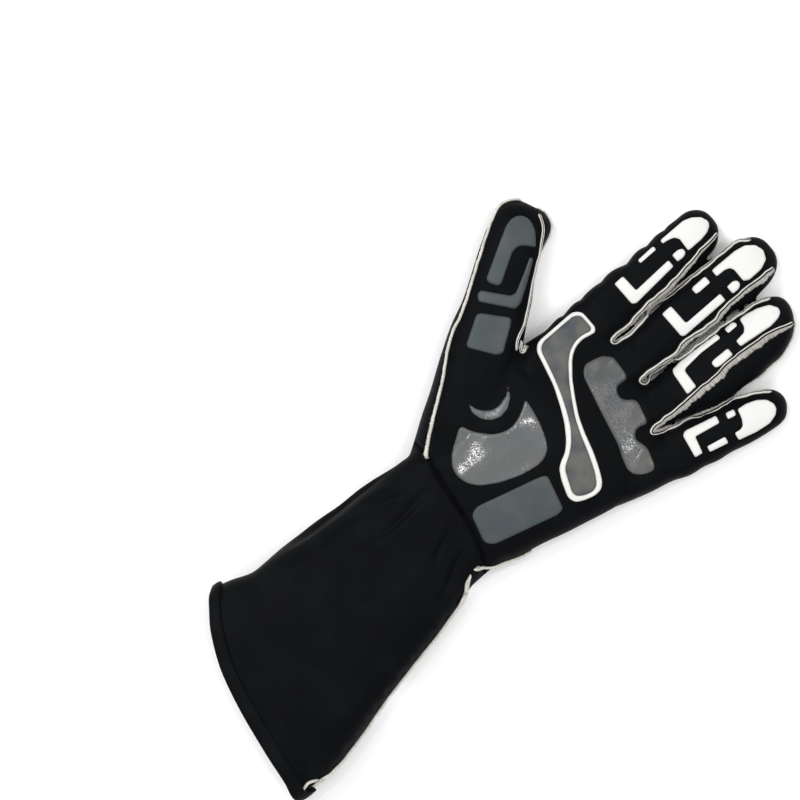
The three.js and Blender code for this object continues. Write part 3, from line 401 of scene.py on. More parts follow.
def relief(verts, normals):
    """Height of the cloth over its smooth form: broad slow waves, the folds of the table, each a
    bell across its path that fades at both ends, the ripples that a seam draws up beside it, the
    groove of the wrist seam, and the scallops down the sides of the fingers."""
    xy = verts[:, :2]
    x, y = xy.T
    top = smoothstep(0.1, 0.5, normals[:, 2])
    wave = (0.24 * np.sin(x / 5.3 + 0.7 * np.sin(y / 11.0)) * np.sin(y / 8.1 + 1.3)
            + 0.2 * np.sin(x / 9.7 - y / 13.0 + 2.1) + 0.12 * np.sin(y / 4.3 + x / 7.9))
    height = wave * (0.35 + 0.65 * smoothstep(120, 60, y)) * smoothstep(-84, -62, x)
    for points, rise, width in FOLDS:
        path = curve_through(points, 1.5)
        gap, _, run = nearest_on_path(xy, path, width * 3)
        total = np.linalg.norm(np.diff(path, axis=0), axis=1).sum()
        fade = smoothstep(0, total * 0.3, run) * smoothstep(total, total * 0.7, run)
        height += rise * fade * np.exp(-(gap / width) ** 2) * top
    for name, path in paths.items():
        gap, side, run = nearest_on_path(xy, path, 12)
        ripple = 0.42 * np.sin(run / 1.45 + 1.2 * np.sin(run / 7.0)) + 0.18 * np.sin(run / 0.83)
        ripple = ripple * (0.3 if name.startswith("thumb") else 1)
        height += np.exp(-(gap / 3.0) ** 2) * (ripple * (gap < FAR) - 0.25) * top * (side < 0)
    gap, _, run = nearest_on_path(xy, wrist_path, 14)
    pucker = 0.3 * np.sin(run / 1.7 + np.sin(run / 5)) * np.exp(-(gap / 4.0) ** 2)
    height += (pucker - 1.5 * np.exp(-(gap / 1.05) ** 2)) * top
    edge = smoothstep(0.75, 0.2, np.abs(normals[:, 2]))
    fingers = smoothstep(-52, -44, x) * smoothstep(60, 100, y)
    height += edge * fingers * 0.24 * np.sin(y / 2.9 + 0.8 * np.sin(y / 9.0) + x / 17.0)
    index_side = smoothstep(-36, -40, x) * fingers * smoothstep(100, 112, y) * smoothstep(186, 172, y)
    scallop = np.abs(np.sin(math.pi * (y + 1.2 * np.sin(y / 9.0)) / 13.5)) - 0.64
    height += edge * index_side * 1.1 * scallop
    hem_reach = y - np.interp(x, hem_path[:, 0], hem_path[:, 1])
    return height * smoothstep(6, 26, hem_reach)


body, body_quads = build_body()
body_normals = point_normals(body, body_quads)
body = body + body_normals * relief(body, body_normals)[:, None]
# The cloth lies on the floor, and a little above it where the hem's band lies under it
BAND_LIFT = 0.45
under_band = body[:, 1] - np.interp(body[:, 0], hem_path[:, 0], hem_path[:, 1])
body[:, 2] = np.maximum(body[:, 2], BAND_LIFT * smoothstep(10, 7, under_band))
body_normals = point_normals(body, body_quads)

# The skin that pads and seams are draped over
skin = make_mesh("skin_guide", body, body_quads)


def draped(points, down=True):
    """Points brought to the cloth: straight down, or to the nearest place on it."""
    guide = make_mesh("guide", points, [])
    wrap = guide.modifiers.new("drape", "SHRINKWRAP")
    wrap.target = skin
    wrap.wrap_method = "PROJECT" if down else "NEAREST_SURFACEPOINT"
    if down:
        wrap.use_project_z = True
        wrap.use_negative_direction = True
        wrap.use_positive_direction = False
    bpy.context.view_layer.update()
    mesh = guide.evaluated_get(bpy.context.evaluated_depsgraph_get()).data
    flat = np.empty(len(mesh.vertices) * 3)
    mesh.vertices.foreach_get("co", flat)
    bpy.data.objects.remove(guide)
    return flat.reshape(-1, 3) / MM


def draped_with_normals(xy):
    """Places and upward normals of the cloth under plan points, the normal from the slopes between
    three neighbouring drops."""
    high = np.column_stack([xy, np.full(len(xy), DROP_HEIGHT)])
    spread = 0.5
    dropped = draped(np.vstack([high, high + [spread, 0, 0], high + [0, spread, 0]]))
    here, east, north = np.split(dropped, 3)
    normals = unit(np.cross(east - here, north - here))
    return here, normals


def far_zone(path, reach_left, reach_right, distance=60):
    """A plan zone: a seam's path, its last point moved on along reach_right by distance, and its
    first point moved on along reach_left."""
    return np.vstack([path, path[-1] + np.array(reach_right) * distance,
                      path[0] + np.array(reach_left) * distance])


def split_body():
    """Which piece each quad of the body belongs to, by where its middle lies."""
    centre = body[body_quads].mean(axis=1)
    xy = centre[:, :2]
    x, y, z = centre.T
    seam_height = SIDE_HEIGHT + SIDE_RISE * x
    above_wrist = y > np.interp(x, wrist_path[:, 0], wrist_path[:, 1])
    piece = np.full(len(centre), "back_panel", dtype=object)
    palm_side = z > seam_height
    piece[palm_side & above_wrist] = "palm_panel"
    piece[palm_side & ~above_wrist] = "gauntlet_panel"
    for name, (left, right) in STRIP_ENDS.items():
        zone = far_zone(paths[name], left, right)
        piece[palm_side & above_wrist & inside(xy, zone)] = "fourchette_" + name
    gusset = np.vstack([paths["thumb_inner"], [(-43.6, 88), (-43.6, 160), (-110, 160)]])
    piece[palm_side & inside(xy, gusset)] = "thumb_gusset"
    outer = np.vstack([paths["thumb_outer"], [(-130, 130), (-130, 0), (-60, -5)]])
    piece[inside(xy, outer) & above_wrist] = "back_panel"
    flank = np.vstack([paths["hand_edge"], paths["cuff_edge"], [(90, -150), (90, 20)]])
    piece[inside(xy, flank)] = "back_panel"
    hem = y - np.interp(x, hem_path[:, 0], hem_path[:, 1])
    piece[(piece == "back_panel") & ~above_wrist] = "back_gauntlet_panel"
    piece[hem < HEM_WIDTH * 0.55] = "none"
    return piece


def rim_walls(faces, count):
    """A quad on each edge that only one face uses, down to the same edge count points further on."""
    corners = faces.shape[1]
    edges = np.concatenate([faces[:, [k, (k + 1) % corners]] for k in range(corners)])
    keys = edges.min(axis=1) * count + edges.max(axis=1)
    _, first, times = np.unique(keys, return_index=True, return_counts=True)
    rim = edges[first[times == 1]]
    return np.stack([rim[:, 1], rim[:, 0], rim[:, 0] + count, rim[:, 1] + count], axis=1)


def cloth_piece(name, quads):
    """A piece of the skin with its thickness: the outer face, the same face sunk along the
    normals, and a rim along its edge. It keeps the whole skin's normals, so it meets its
    neighbours without a break."""
    used, local = np.unique(quads, return_inverse=True)
    local = local.reshape(-1, 4)
    count = len(used)
    outer = body[used]
    inner = outer - body_normals[used] * CLOTH_THICKNESS
    faces = np.vstack([local, local[:, ::-1] + count, rim_walls(local, count)])
    piece = make_mesh(name, np.vstack([outer, inner]), faces)
    normals = np.vstack([body_normals[used], -body_normals[used]])
    piece.data.normals_split_custom_set_from_vertices(normals.tolist())
    return piece


owner = split_body()
CLOTH_NODES = ["palm_panel", "back_panel", "gauntlet_panel", "back_gauntlet_panel",
               "fourchette_index_middle", "fourchette_middle_ring", "fourchette_ring_little",
               "thumb_gusset"]
cloth = {name: cloth_piece("cloth_" + name, body_quads[owner == name]) for name in CLOTH_NODES}


class Wire:
    """A shader socket that takes Python's arithmetic: each operation adds its Math node."""

    def __init__(self, finish, socket):
        self.finish, self.socket = finish, socket

    def math(self, operation, *others):
        """This socket and the others through one Math node."""
        return self.finish.node("Math", dict(enumerate((self, *others))), operation=operation)

    def __add__(self, other):
        return self.math("ADD", other)

    def __mul__(self, other):
        return self.math("MULTIPLY", other)

    def __sub__(self, other):
        return self.math("SUBTRACT", other)

    def __rsub__(self, other):
        return self.finish.node("Math", {0: other, 1: self}, operation="SUBTRACT")

    __radd__ = __add__
    __rmul__ = __mul__

    def sine(self):
        return self.math("SINE")

    def between(self, low, high):
        """0 below low, 1 above high, a smooth step between."""
        return self.finish.node("MapRange", {0: self, 1: low, 2: high},
                                interpolation_type="SMOOTHSTEP")


class Finish:
    """A material being made. node() adds any node, its settings first and then its sockets."""

    def __init__(self, name):
        self.material = bpy.data.materials.new(name)
        self.material.use_nodes = True
        self.tree = self.material.node_tree

    def feed(self, socket, value):
        """Joins a wire to a socket, or sets the socket to a plain value."""
        if isinstance(value, Wire):
            self.tree.links.new(value.socket, socket)
        else:
            socket.default_value = value

    def node(self, kind, inputs=None, output=0, **settings):
        made = self.tree.nodes.new("ShaderNode" + kind)
        for setting, value in settings.items():
            setattr(made, setting, value)
        for socket, value in (inputs or {}).items():
            self.feed(made.inputs[socket], value)
        return Wire(self, made.outputs[output])

    def place(self, scale=(1, 1, 1)):
        """Object coordinates in millimetres, stretched by scale."""
        coordinates = self.node("TexCoord", output="Object")
        return self.node("Mapping", {"Vector": coordinates, "Scale": [s / MM for s in scale]})

    def axes(self, vector):
        return [self.node("SeparateXYZ", {"Vector": vector}, output=axis) for axis in "XYZ"]

    def noise(self, vector, scale, detail=2.0, roughness=0.5):
        """Cloudy noise, 0 to 1, with scale lumps to a millimetre."""
        return self.node("TexNoise", {"Vector": vector, "Scale": scale, "Detail": detail,
                                      "Roughness": roughness})

    def attribute(self, name):
        return self.node("Attribute", output="Fac", attribute_name=name)

    def mix(self, factor, a, b):
        return self.node("Mix", {0: factor, 6: a, 7: b}, output=2, data_type="RGBA")

    def bump(self, height, distance_mm, strength=1.0):
        """A normal tilted as a surface raised by height times distance_mm would be."""
        return self.node("Bump", {"Height": height, "Distance": distance_mm * MM,
                                  "Strength": strength})

    def surface(self, sockets):
        """The material, with these sockets of its surface fed."""
        for socket, value in sockets.items():
            self.feed(self.tree.nodes["Principled BSDF"].inputs[socket], value)
        return self.material


def colour(red, green, blue):
    """A colour given as the screen shows it, 0 to 255, as the shader wants it."""
    c = np.array([red, green, blue]) / 255
    linear = np.where(c <= 0.04045, c / 12.92, ((c + 0.055) / 1.055) ** 2.4)
    return (*linear.tolist(), 1.0)


BLACK_CLOTH = colour(7, 8, 9.5)
BLACK_CLOTH_WORN = colour(15, 17, 19)
PRINT_WHITE = colour(238, 241, 245)
PRINT_GREY = colour(150, 155, 163)


def knit(finish, wale=0.85, course=0.62):
    """Height of the knitted face: columns of loops along Y and rows across them, each row bent to
    a V inside its column, broken up by noise."""
    x, y, z = finish.axes(finish.place())
    uneven = finish.noise(finish.place(), 0.35, 2.0)
    across = (x + z * 0.6 + uneven * 0.9) * (2 * math.pi / wale)
    loop = across.sine()
    row = ((y + z * 0.35 + uneven * 0.9) * (2 * math.pi / course) + loop * 1.3).sine()
    return loop * 0.32 + row * 0.2 + finish.noise(finish.place(), 2.6, 3.0) * 0.9


def cloth_finish(name, dark=BLACK_CLOTH, pale=BLACK_CLOTH_WORN, printed=False):
    """Dull black knit, a little paler in broad patches and where lint clings to it, painted shade in
    the wrist seam's groove, and the two printed colours where the piece's own print distances say so."""
    finish = Finish(name)
    patches = finish.noise(finish.place(), 0.055, 3.0).between(0.42, 0.75)
    lint = finish.noise(finish.place(), 1.7, 4.0, 0.7).between(0.55, 0.8)
    base = finish.mix(patches * 0.5 + lint * 0.35, dark, pale)
    rough = 0.52 + patches * 0.06
    height = knit(finish)
    # Painted shade: the cloth is darkened nearly to black along the wrist seam's groove, where shade falls
    sunk = finish.attribute("sunk_seam")
    base = finish.mix(sunk, base, colour(2, 2, 3))
    rough = rough + sunk * 0.4
    if printed:
        for attribute, ink in (("white_print", PRINT_WHITE), ("grey_print", PRINT_GREY)):
            edge = finish.noise(finish.place(), 1.1, 2.0) * 0.35 - 0.17
            mask = (finish.attribute(attribute) + edge).between(-0.12, 0.12)
            worn = finish.noise(finish.place(), 2.2, 4.0, 0.65).between(0.2, 0.36)
            base = finish.mix(mask * (0.82 + worn * 0.18), base, ink)
            height = height + mask * 0.5
    return finish.surface({
        "Base Color": base, "Roughness": rough, "Normal": finish.bump(height, 0.05, 0.7),
        "Specular IOR Level": 0.035, "Sheen Weight": 0.015, "Sheen Roughness": 0.45,
        "Sheen Tint": colour(150, 165, 180)})


# The printed bands on the back of the glove, as their outlines in plan, seen from the back with x
# to the right, so x is turned over below. They are plain sweeping stripes.
WHITE_PRINT = [
    [(-60, 121.5), (-53, 138), (-45, 145.5), (-45, 136), (-50, 128), (-57, 112)],
    [(-42, 146), (-30, 155), (-17, 164.5), (-15, 165), (-15, 156.5), (-17, 156), (-30, 147), (-42, 138)],
    [(-14, 165.5), (-10, 167), (0, 171), (15, 178), (18, 179), (18, 169.4), (15, 168), (0, 163),
     (-14, 157.6)],
    [(14, 177.6), (20, 180), (35, 184), (47, 182.6), (47, 171.5), (35, 173), (20, 170), (14, 167.6)],
    [(-37, -14.5), (-10, -9), (0, -6), (10, -1), (20, 5), (25, 10), (29, 20), (35, 40), (38, 60),
     (41.5, 82), (42.6, 82), (40.6, 60), (38.4, 40), (34, 20), (29, 5), (25, -1), (15, -7), (0, -13.5),
     (-37, -20)],
    [(-56, -86), (-40, -72), (-30, -64), (-20, -60), (0, -51), (10, -47), (20, -41), (30, -35), (40, -30),
     (60, -26), (60, -45), (48, -47), (35, -51), (20, -57), (0, -66), (-12, -72), (-30, -77), (-41, -84),
     (-56, -96)],
]
GREY_PRINT = [
    [(-52, 125), (-45, 132), (-40, 135), (-17, 153), (0, 159), (15, 165), (35, 169.6), (47, 167.5),
     (47, 161.5), (35, 163), (15, 160), (0, 155.5), (-17, 148), (-38, 130), (-45, 125.5), (-52, 119)],
    [(-31, -9), (-25, -5), (-10, 0), (0, 4), (10, 11), (18, 16), (22, 22), (28, 37), (33, 57), (34.6, 57),
     (31, 40), (26, 24), (21, 14), (18, 11), (10, 7), (0, 0), (-10, -3), (-25, -7), (-31, -10)],
    [(-58, -98), (-42, -88), (-30, -82), (-12, -77), (0, -71), (20, -62), (35, -55), (47, -51), (60, -49),
     (60, -57), (47, -59), (35, -64), (20, -71), (0, -80), (-12, -86), (-30, -90), (-44, -95), (-58, -104)],
]


def rounded(corners, radius, step=0.7):
    """A closed outline with each corner turned by an arc that leaves its two sides at the same
    distance, as far as the sides allow, resampled every step."""
    p = np.asarray(corners, float)
    back, ahead = np.roll(p, 1, axis=0) - p, np.roll(p, -1, axis=0) - p
    length_back, length_ahead = np.linalg.norm(back, axis=1), np.linalg.norm(ahead, axis=1)
    cut = np.minimum(radius, 0.46 * np.minimum(length_back, length_ahead))
    start = p + back * (cut / length_back)[:, None]
    end = p + ahead * (cut / length_ahead)[:, None]
    t = np.linspace(0, 1, 6)[None, :, None]
    arc = (1 - t) ** 2 * start[:, None] + 2 * t * (1 - t) * p[:, None] + t ** 2 * end[:, None]
    loop = arc.reshape(-1, 2)
    loop = np.vstack([loop, loop[:1]])
    run = np.concatenate([[0], np.cumsum(np.linalg.norm(np.diff(loop, axis=0), axis=1))])
    count = max(12, int(run[-1] / step))
    at = np.linspace(0, run[-1], count, endpoint=False)
    return np.stack([np.interp(at, run, loop[:, k]) for k in range(2)], axis=1)


def signed_distance(xy, outline):
    """Millimetres from the outline, positive inside it."""
    closed = np.vstack([outline, outline[:1]])
    a, step = closed[:-1], np.diff(closed, axis=0)
    best = np.full(len(xy), 1e9)
    for start, edge in zip(a, step):
        t = np.clip(((xy - start) @ edge) / max(edge @ edge, 1e-9), 0, 1)
        best = np.minimum(best, np.linalg.norm(xy - start - t[:, None] * edge, axis=1))
    return np.where(inside(xy, outline), best, -best)


def give_print(piece, verts, name, outlines):
    """Writes the print distance to a point attribute of the piece. The print ends where the back
    panel turns up to the palm side, and at the side strips between the fingers."""
    best = np.full(len(verts), -50.0)
    for outline in outlines:
        smooth = rounded(np.array(outline, float) * [-1, 1], 7.0, 1.5)
        best = np.maximum(best, signed_distance(verts[:, :2], smooth))
    best = np.minimum(best, SIDE_HEIGHT + 1 + SIDE_RISE * verts[:, 0] - verts[:, 2])
    for strip, (left, right) in STRIP_ENDS.items():
        path = curve_through([row[:2] for row in UNDER_PATHS["back_seam_" + strip]], PATH_STEP)
        best = np.minimum(best, -signed_distance(verts[:, :2], far_zone(path, left, right)))
    piece.data.attributes.new(name, "FLOAT", "POINT").data.foreach_set("value", best)


black_knit = cloth_finish("black_knit")
printed_knit = cloth_finish("printed_black_knit", colour(9, 10, 13), colour(16, 17, 22), printed=True)
for name, piece in cloth.items():
    points, _ = evaluated(piece)
    gap, _, _ = nearest_on_path(points[:, :2], wrist_path, 4)
    # Painted shade along the wrist seam's groove on the palm side, a narrow bell across its path, kept for
    # the cloth's colour
    sunk = np.exp(-(gap / 0.62) ** 2) * (points[:, 2] > 8) * 0.9
    piece.data.attributes.new("sunk_seam", "FLOAT", "POINT").data.foreach_set("value", sunk)
    back = name.startswith("back")
    if back:
        give_print(piece, points, "white_print", WHITE_PRINT)
        give_print(piece, points, "grey_print", GREY_PRINT)
    piece.data.materials.append(printed_knit if back else black_knit)
    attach(piece, "root")
    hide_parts(name)


# Seams. The panels are sewn wrong sides together, so their raw cut edges stand up outside: a thin
# bright edge of the palm's cloth, the dark line of stitching, and a wider frayed edge of the side
# strip. On the thumb's back, the hand and the cuff the two edges lie together as one.
TWO_LIPS = np.array([
    (-1.35, -0.7), (-1.25, 0.2), (-1.15, 0.85), (-0.92, 1.15), (-0.7, 0.85), (-0.6, 0.1), (-0.5, -0.35),
    (-0.18, -0.35), (-0.06, 0.3), (0.04, 1.05), (0.3, 1.35), (0.6, 1.35), (0.85, 1.15), (1.0, 0.65),
    (1.1, 0.05), (1.2, -0.7)])
ONE_LIP = np.array([
    (-0.75, -0.7), (-0.5, 0.3), (-0.35, 0.95), (-0.1, 1.35), (0.25, 1.45), (0.6, 1.35), (0.85, 1.0),
    (1.0, 0.35), (1.15, -0.7)])
SEAM_STEP = 0.45


def ragged(run, seed, pitch):
    """Smooth noise along a run: four sines of unrelated lengths round the given pitch."""
    k = 2 * math.pi / pitch
    return (np.sin(run * k + seed) + 0.8 * np.sin(run * k * 1.618 + 2.1 * seed)
            + 0.6 * np.sin(run * k * 2.73 + 0.7 * seed) + 0.45 * np.sin(run * k * 4.36 + 3.3 * seed)) / 2.0


def skin_normals(points, spread=1.6):
    """Mean normal of the skin round each point, weighted by a bell of its distance."""
    result = np.zeros_like(points)
    for at in range(0, len(points), 40):
        some = points[at:at + 40]
        low, high = some.min(axis=0) - 3 * spread, some.max(axis=0) + 3 * spread
        near = np.all((body > low) & (body < high), axis=1)
        gap2 = ((some[:, None, :] - body[None, near]) ** 2).sum(axis=-1)
        result[at:at + 40] = np.exp(-gap2 / spread ** 2) @ body_normals[near]
    return unit(result)


def relaxed(points, rounds):
    """Each inner point moved to the mean of itself and its neighbours, rounds times over."""
    for _ in range(rounds):
        points = np.vstack([points[:1], (points[:-2] + 2 * points[1:-1] + points[2:]) / 4, points[-1:]])
    return points


def seam_line(rows, side_height):
    """A seam laid on the skin, and the width of its raw edge along it. Each row of the table is
    dropped from above, or met from the side at its own height, or at side_height where nothing is
    below it. A smooth curve through these places is brought to the nearest cloth."""
    table = np.array([tuple(row) + (0.6, 0.0)[len(row) - 2:] for row in rows], float)
    plan, edge, height = table[:, :2], table[:, 2], table[:, 3]
    hit = draped(np.column_stack([plan, np.full(len(plan), DROP_HEIGHT)]))
    missed = (hit[:, 2] > DROP_HEIGHT - 10) | (hit[:, 2] < side_height - 2.5) | (height > 0)
    level = np.where(height > 0, height, side_height)
    beside = draped(np.column_stack([plan, level]), down=False)
    knots = np.column_stack([np.where(missed[:, None], beside, hit), edge])
    even = curve_through(knots, SEAM_STEP)
    line = relaxed(draped(even[:, :3], down=False), 8)
    return line, even[:, 3]


def arcs(root, lean, curl, length, bend, radius, rings=3):
    """Fibres, each a three-sided tube along an arc, thinner to its end:
    p(t) = root + length / bend * (lean * sin(bend t) + curl * (1 - cos(bend t)))."""
    t = np.linspace(0, 1, rings)[None, :, None]
    w = bend[:, None, None]
    centre = root[:, None] + length[:, None, None] / w * (lean[:, None] * np.sin(w * t)
                                                         + curl[:, None] * (1 - np.cos(w * t)))
    third = unit(np.cross(lean, curl))
    turn = np.arange(3) * 2 * math.pi / 3
    side = curl[:, None, None] * np.cos(turn)[:, None] + third[:, None, None] * np.sin(turn)[:, None]
    points = centre[:, :, None] + side * (radius * (1 - 0.7 * t))[..., None]
    one = grid_faces(rings, 3, wrap_columns=True)[:, ::-1]
    offsets = np.arange(len(root))[:, None, None] * rings * 3
    faces = (one[None] + offsets).reshape(-1, 4).tolist()
    for cap in (np.arange(3), np.arange(3)[::-1] + (rings - 1) * 3):
        faces += (cap[None] + offsets[:, :, 0]).tolist()
    return points.reshape(-1, 3), faces, np.tile([0.5, 0.0], (len(root) * rings * 3, 1))


def fray(border, out, up, seed, pitch=0.32, reach=0.75):
    """Loose fibres that leave a raw border outwards at random slants."""
    random = np.random.default_rng(seed)
    count = int(np.linalg.norm(np.diff(border, axis=0), axis=1).sum() / pitch)
    at = random.uniform(0, len(border) - 1.001, count)
    index = at.astype(int)
    root = border[index] + (border[index + 1] - border[index]) * (at - index)[:, None]
    side, top = out[index], up[index]
    lean = unit(side * random.uniform(0.4, 1, (count, 1))
                + np.cross(side, top) * random.normal(0, 0.6, (count, 1))
                + top * random.normal(0.1, 0.25, (count, 1)))
    curl = unit(np.cross(lean, unit(random.normal(0, 1, (count, 3)))))
    length = reach * random.uniform(0.25, 1.0, count) ** 1.4
    return arcs(root, lean, curl, length, random.uniform(0.4, 1.8, count), 0.075)


def tuft(middle, seed, count=90, size=1.5, reach=1.9):
    """A frayed end: fibres that leave a small disc on the cloth every way and curl over."""
    random = np.random.default_rng(seed)
    up = skin_normals(middle[None])[0]
    lean = random.normal(0, 1, (count, 3))
    lean = unit(lean - (lean @ up)[:, None] * up + up * random.uniform(0.1, 0.7, (count, 1)))
    root = (middle + lean * random.uniform(0, size, (count, 1)) * 0.5
            + up * random.uniform(0.1, 0.9, (count, 1)))
    curl = unit(np.cross(lean, unit(random.normal(0, 1, (count, 3)))))
    length = reach * random.uniform(0.4, 1.0, count)
    return arcs(root, lean, curl, length, random.uniform(1.2, 3.2, count), 0.15, rings=6)


def ridge(line, edge, seed, profile, thin=1.0, height=1.0, wander=0.25):
    """The profile carried along the line: across it along normal x tangent, up it along the skin's
    normal. The minus side is stretched by thin and the plus side by edge. Slow noise varies them
    and sways the line, and the ends taper. UV holds the place across and the length run. The
    frayed fibres along its borders follow it in the list."""
    normals = skin_normals(line)
    tangent = unit(np.gradient(line, axis=0))
    across = unit(np.cross(normals, tangent))
    run = np.concatenate([[0], np.cumsum(np.linalg.norm(np.diff(line, axis=0), axis=1))])
    line = line + across * (wander * ragged(run, seed, 36.0))[:, None]
    ends = np.sqrt(np.clip(np.minimum(run, run[-1] - run) / 1.5, 0.02, 1))
    wide = edge * (1 + 0.15 * ragged(run, seed + 1, 13.0) + 0.08 * ragged(run, seed + 4, 3.1)) * ends
    narrow = thin * (1 + 0.08 * ragged(run, seed + 3, 21.0)) * ends
    tall = height * (1 + 0.12 * ragged(run, seed + 2, 11.0) + 0.05 * ragged(run, seed + 5, 3.7)) * ends
    u = profile[None, :, 0] * np.where(profile[None, :, 0] > 0, wide[:, None], narrow[:, None])
    v = profile[None, :, 1] * np.where(profile[None, :, 1] > 0, tall[:, None], 1)
    points = line[:, None, :] + u[..., None] * across[:, None, :] + v[..., None] * normals[:, None, :]
    rows, columns = points.shape[:2]
    faces = grid_faces(rows, columns, wrap_columns=True)[:, ::-1].tolist()
    faces += [list(range(columns)), list(range((rows - 1) * columns, rows * columns))[::-1]]
    uv = np.stack(np.broadcast_arrays(profile[None, :, 0], run[:, None]), axis=-1).reshape(-1, 2)
    brim = line + across * (wide * 0.9)[:, None] + normals * (tall * 0.8)[:, None]
    hairs = [fray(brim, across, normals, int(seed * 10))]
    if profile is ONE_LIP:
        brim = line - across * (narrow * 0.35)[:, None] + normals * (tall * 0.8)[:, None]
        hairs.append(fray(brim, -across, normals, int(seed * 10) + 1, pitch=0.5, reach=0.55))
    return [(points.reshape(-1, 3), faces, uv)] + hairs


def seam_finish(name, stitched, pale, bright):
    """Pale raw edges between black flanks: cream where the place across is on a lip, black in the
    stitched groove and down both sides, with frayed borders, fibres and grime."""
    finish = Finish(name)
    across, along, _ = finish.axes(finish.node("UVMap", uv_map="run"))
    spot = finish.node("CombineXYZ", {"X": across * 1.2, "Y": along * 1.7})
    rough_border = (finish.noise(spot, 1.0, 3.0, 0.6) - 0.5) * across.between(0.0, 0.5)
    place = across + rough_border * 0.4
    if stitched:
        thin_lip = across.between(-1.28, -1.16) * (1 - across.between(-0.68, -0.58))
        wide_lip = place.between(-0.04, 0.08) * (1 - place.between(0.9, 1.04))
        lips = thin_lip + wide_lip
    else:
        lips = place.between(-0.55, -0.4) * (1 - place.between(0.92, 1.06))
    strand = finish.noise(finish.node("CombineXYZ", {"X": across * 0.5, "Y": along * 1.9}), 1.0, 4.0, 0.7)
    grime = finish.noise(finish.place(), 0.13, 3.0).between(0.35, 0.7)
    cream = finish.mix(strand.between(0.32, 0.66), pale, bright)
    cream = finish.mix(grime * 0.25, cream, colour(132, 129, 122))
    if stitched:
        cream = finish.mix((1 - across.between(-0.6, -0.2)) * 0.85, cream, colour(214, 212, 206))
    return finish.surface({
        "Base Color": finish.mix(lips, colour(12, 13, 15), cream), "Roughness": 0.85 + strand * 0.1,
        "Normal": finish.bump(strand + lips * 0.4, 0.25, 0.9), "Specular IOR Level": 0.1,
        "Sheen Weight": 0.05, "Sheen Roughness": 0.6})


stitched_edge = seam_finish("stitched_raw_edge", True, colour(112, 110, 105), colour(182, 179, 172))
twin_edge = seam_finish("twin_raw_edge", True, colour(172, 169, 161), colour(222, 219, 212))
bright_edge = seam_finish("bright_raw_edge", False, colour(172, 168, 159), colour(222, 219, 211))


def add_seam(node, parts, finish):
    """One piece of all the parts, each its points, faces and UVs, kept above the floor."""
    points = np.vstack([part[0] for part in parts])
    points[:, 2] = np.maximum(points[:, 2], 0)
    starts = np.cumsum([0] + [len(part[0]) for part in parts])
    faces = [[i + int(start) for i in face] for part, start in zip(parts, starts) for face in part[1]]
    piece = make_mesh(node.replace("seam", "edge_seam"), points, faces)
    loops = np.empty(len(piece.data.loops), dtype=np.int64)
    piece.data.loops.foreach_get("vertex_index", loops)
    uv = np.vstack([part[2] for part in parts])
    piece.data.uv_layers.new(name="run").data.foreach_set("uv", uv[loops].ravel())
    piece.data.materials.append(finish)
    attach(piece, "root")
    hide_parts(node)


for seed, name in enumerate(("index_middle", "middle_ring", "ring_little")):
    line, edge = seam_line(SEAM_PATHS[name], 11.0)
    add_seam("seam_" + name, ridge(line, edge, seed + 1.3, TWO_LIPS), stitched_edge)

line, edge = seam_line(SEAM_PATHS["thumb_outer"], 11.0)
add_seam("seam_thumb_outer", ridge(line, edge, 5.1, ONE_LIP, wander=0.1)
         + [tuft(line[2], 51, 60, 1.0, 1.2)], bright_edge)

# At the crotch of the thumb the raw edge of the side strip ends in a frayed curl
THUMB_CURL = [(-45.4, 84.6, 0.5), (-43.0, 81.6, 0.9), (-39.9, 80.6, 0.9), (-39.5, 82.9, 0.8),
              (-41.7, 84.4, 0.6)]
line, edge = seam_line(SEAM_PATHS["thumb_inner"], 11.0)
curl, curl_edge = seam_line(THUMB_CURL, 4.0)
add_seam("seam_thumb_inner", ridge(line, edge, 6.7, TWO_LIPS, thin=0.75, height=0.7, wander=0.1)
         + ridge(curl, curl_edge, 6.1, TWO_LIPS, thin=0.6) + [tuft(curl[-5], 61, 80, 2.2, 1.8)],
         twin_edge)

line, edge = seam_line(SEAM_PATHS["hand_edge"], 9.0)
add_seam("seam_hand_edge", ridge(line, edge, 7.9, ONE_LIP) + [tuft(line[-6], 71, 80, 2.4, 1.3)], bright_edge)
# Its lower end is folded back over the cuff as a short frayed tail
CUFF_TAIL = [(53.0, -134.4, 0.3), (51.6, -136.6, 0.7), (50.8, -139.4, 0.9), (51.4, -142.2, 0.7),
             (52.2, -144, 0.4)]
line, edge = seam_line(SEAM_PATHS["cuff_edge"], 10.5)
tail, tail_edge = seam_line(CUFF_TAIL, 4.0)
add_seam("seam_cuff_edge", ridge(line, edge, 9.2, ONE_LIP, wander=0.15)
         + ridge(tail, tail_edge, 9.8, ONE_LIP)
         + [tuft(line[at], 90 + at, 80, 2.6, 1.3) for at in (24, len(line) - 12)], bright_edge)

# The seams underneath, at the height where they leave the floor, and as wide as one thin lip
UNDER_HEIGHT = 2.8
UNDER_WIDTH = 0.55
for seed, (node, rows) in enumerate(UNDER_PATHS.items()):
    rows = [row if len(row) > 2 else (*row, UNDER_WIDTH, UNDER_HEIGHT) for row in rows]
    line, edge = seam_line(rows, UNDER_HEIGHT)
    add_seam(node, ridge(line, edge, 11.3 + seed, ONE_LIP, thin=0.8, height=0.75, wander=0.15), bright_edge)


# Grips. Silicone printed on the palm side: white satin shapes on the fingers, dull grey ones on
# the thumb and palm, glossier ones on the ball of the thumb and below the knuckles, and a grey
# band with a raised white border.
GRIP_THICKNESS = 0.62
GRIP_EDGE = 0.85
GRIP_BEDDING = 0.45

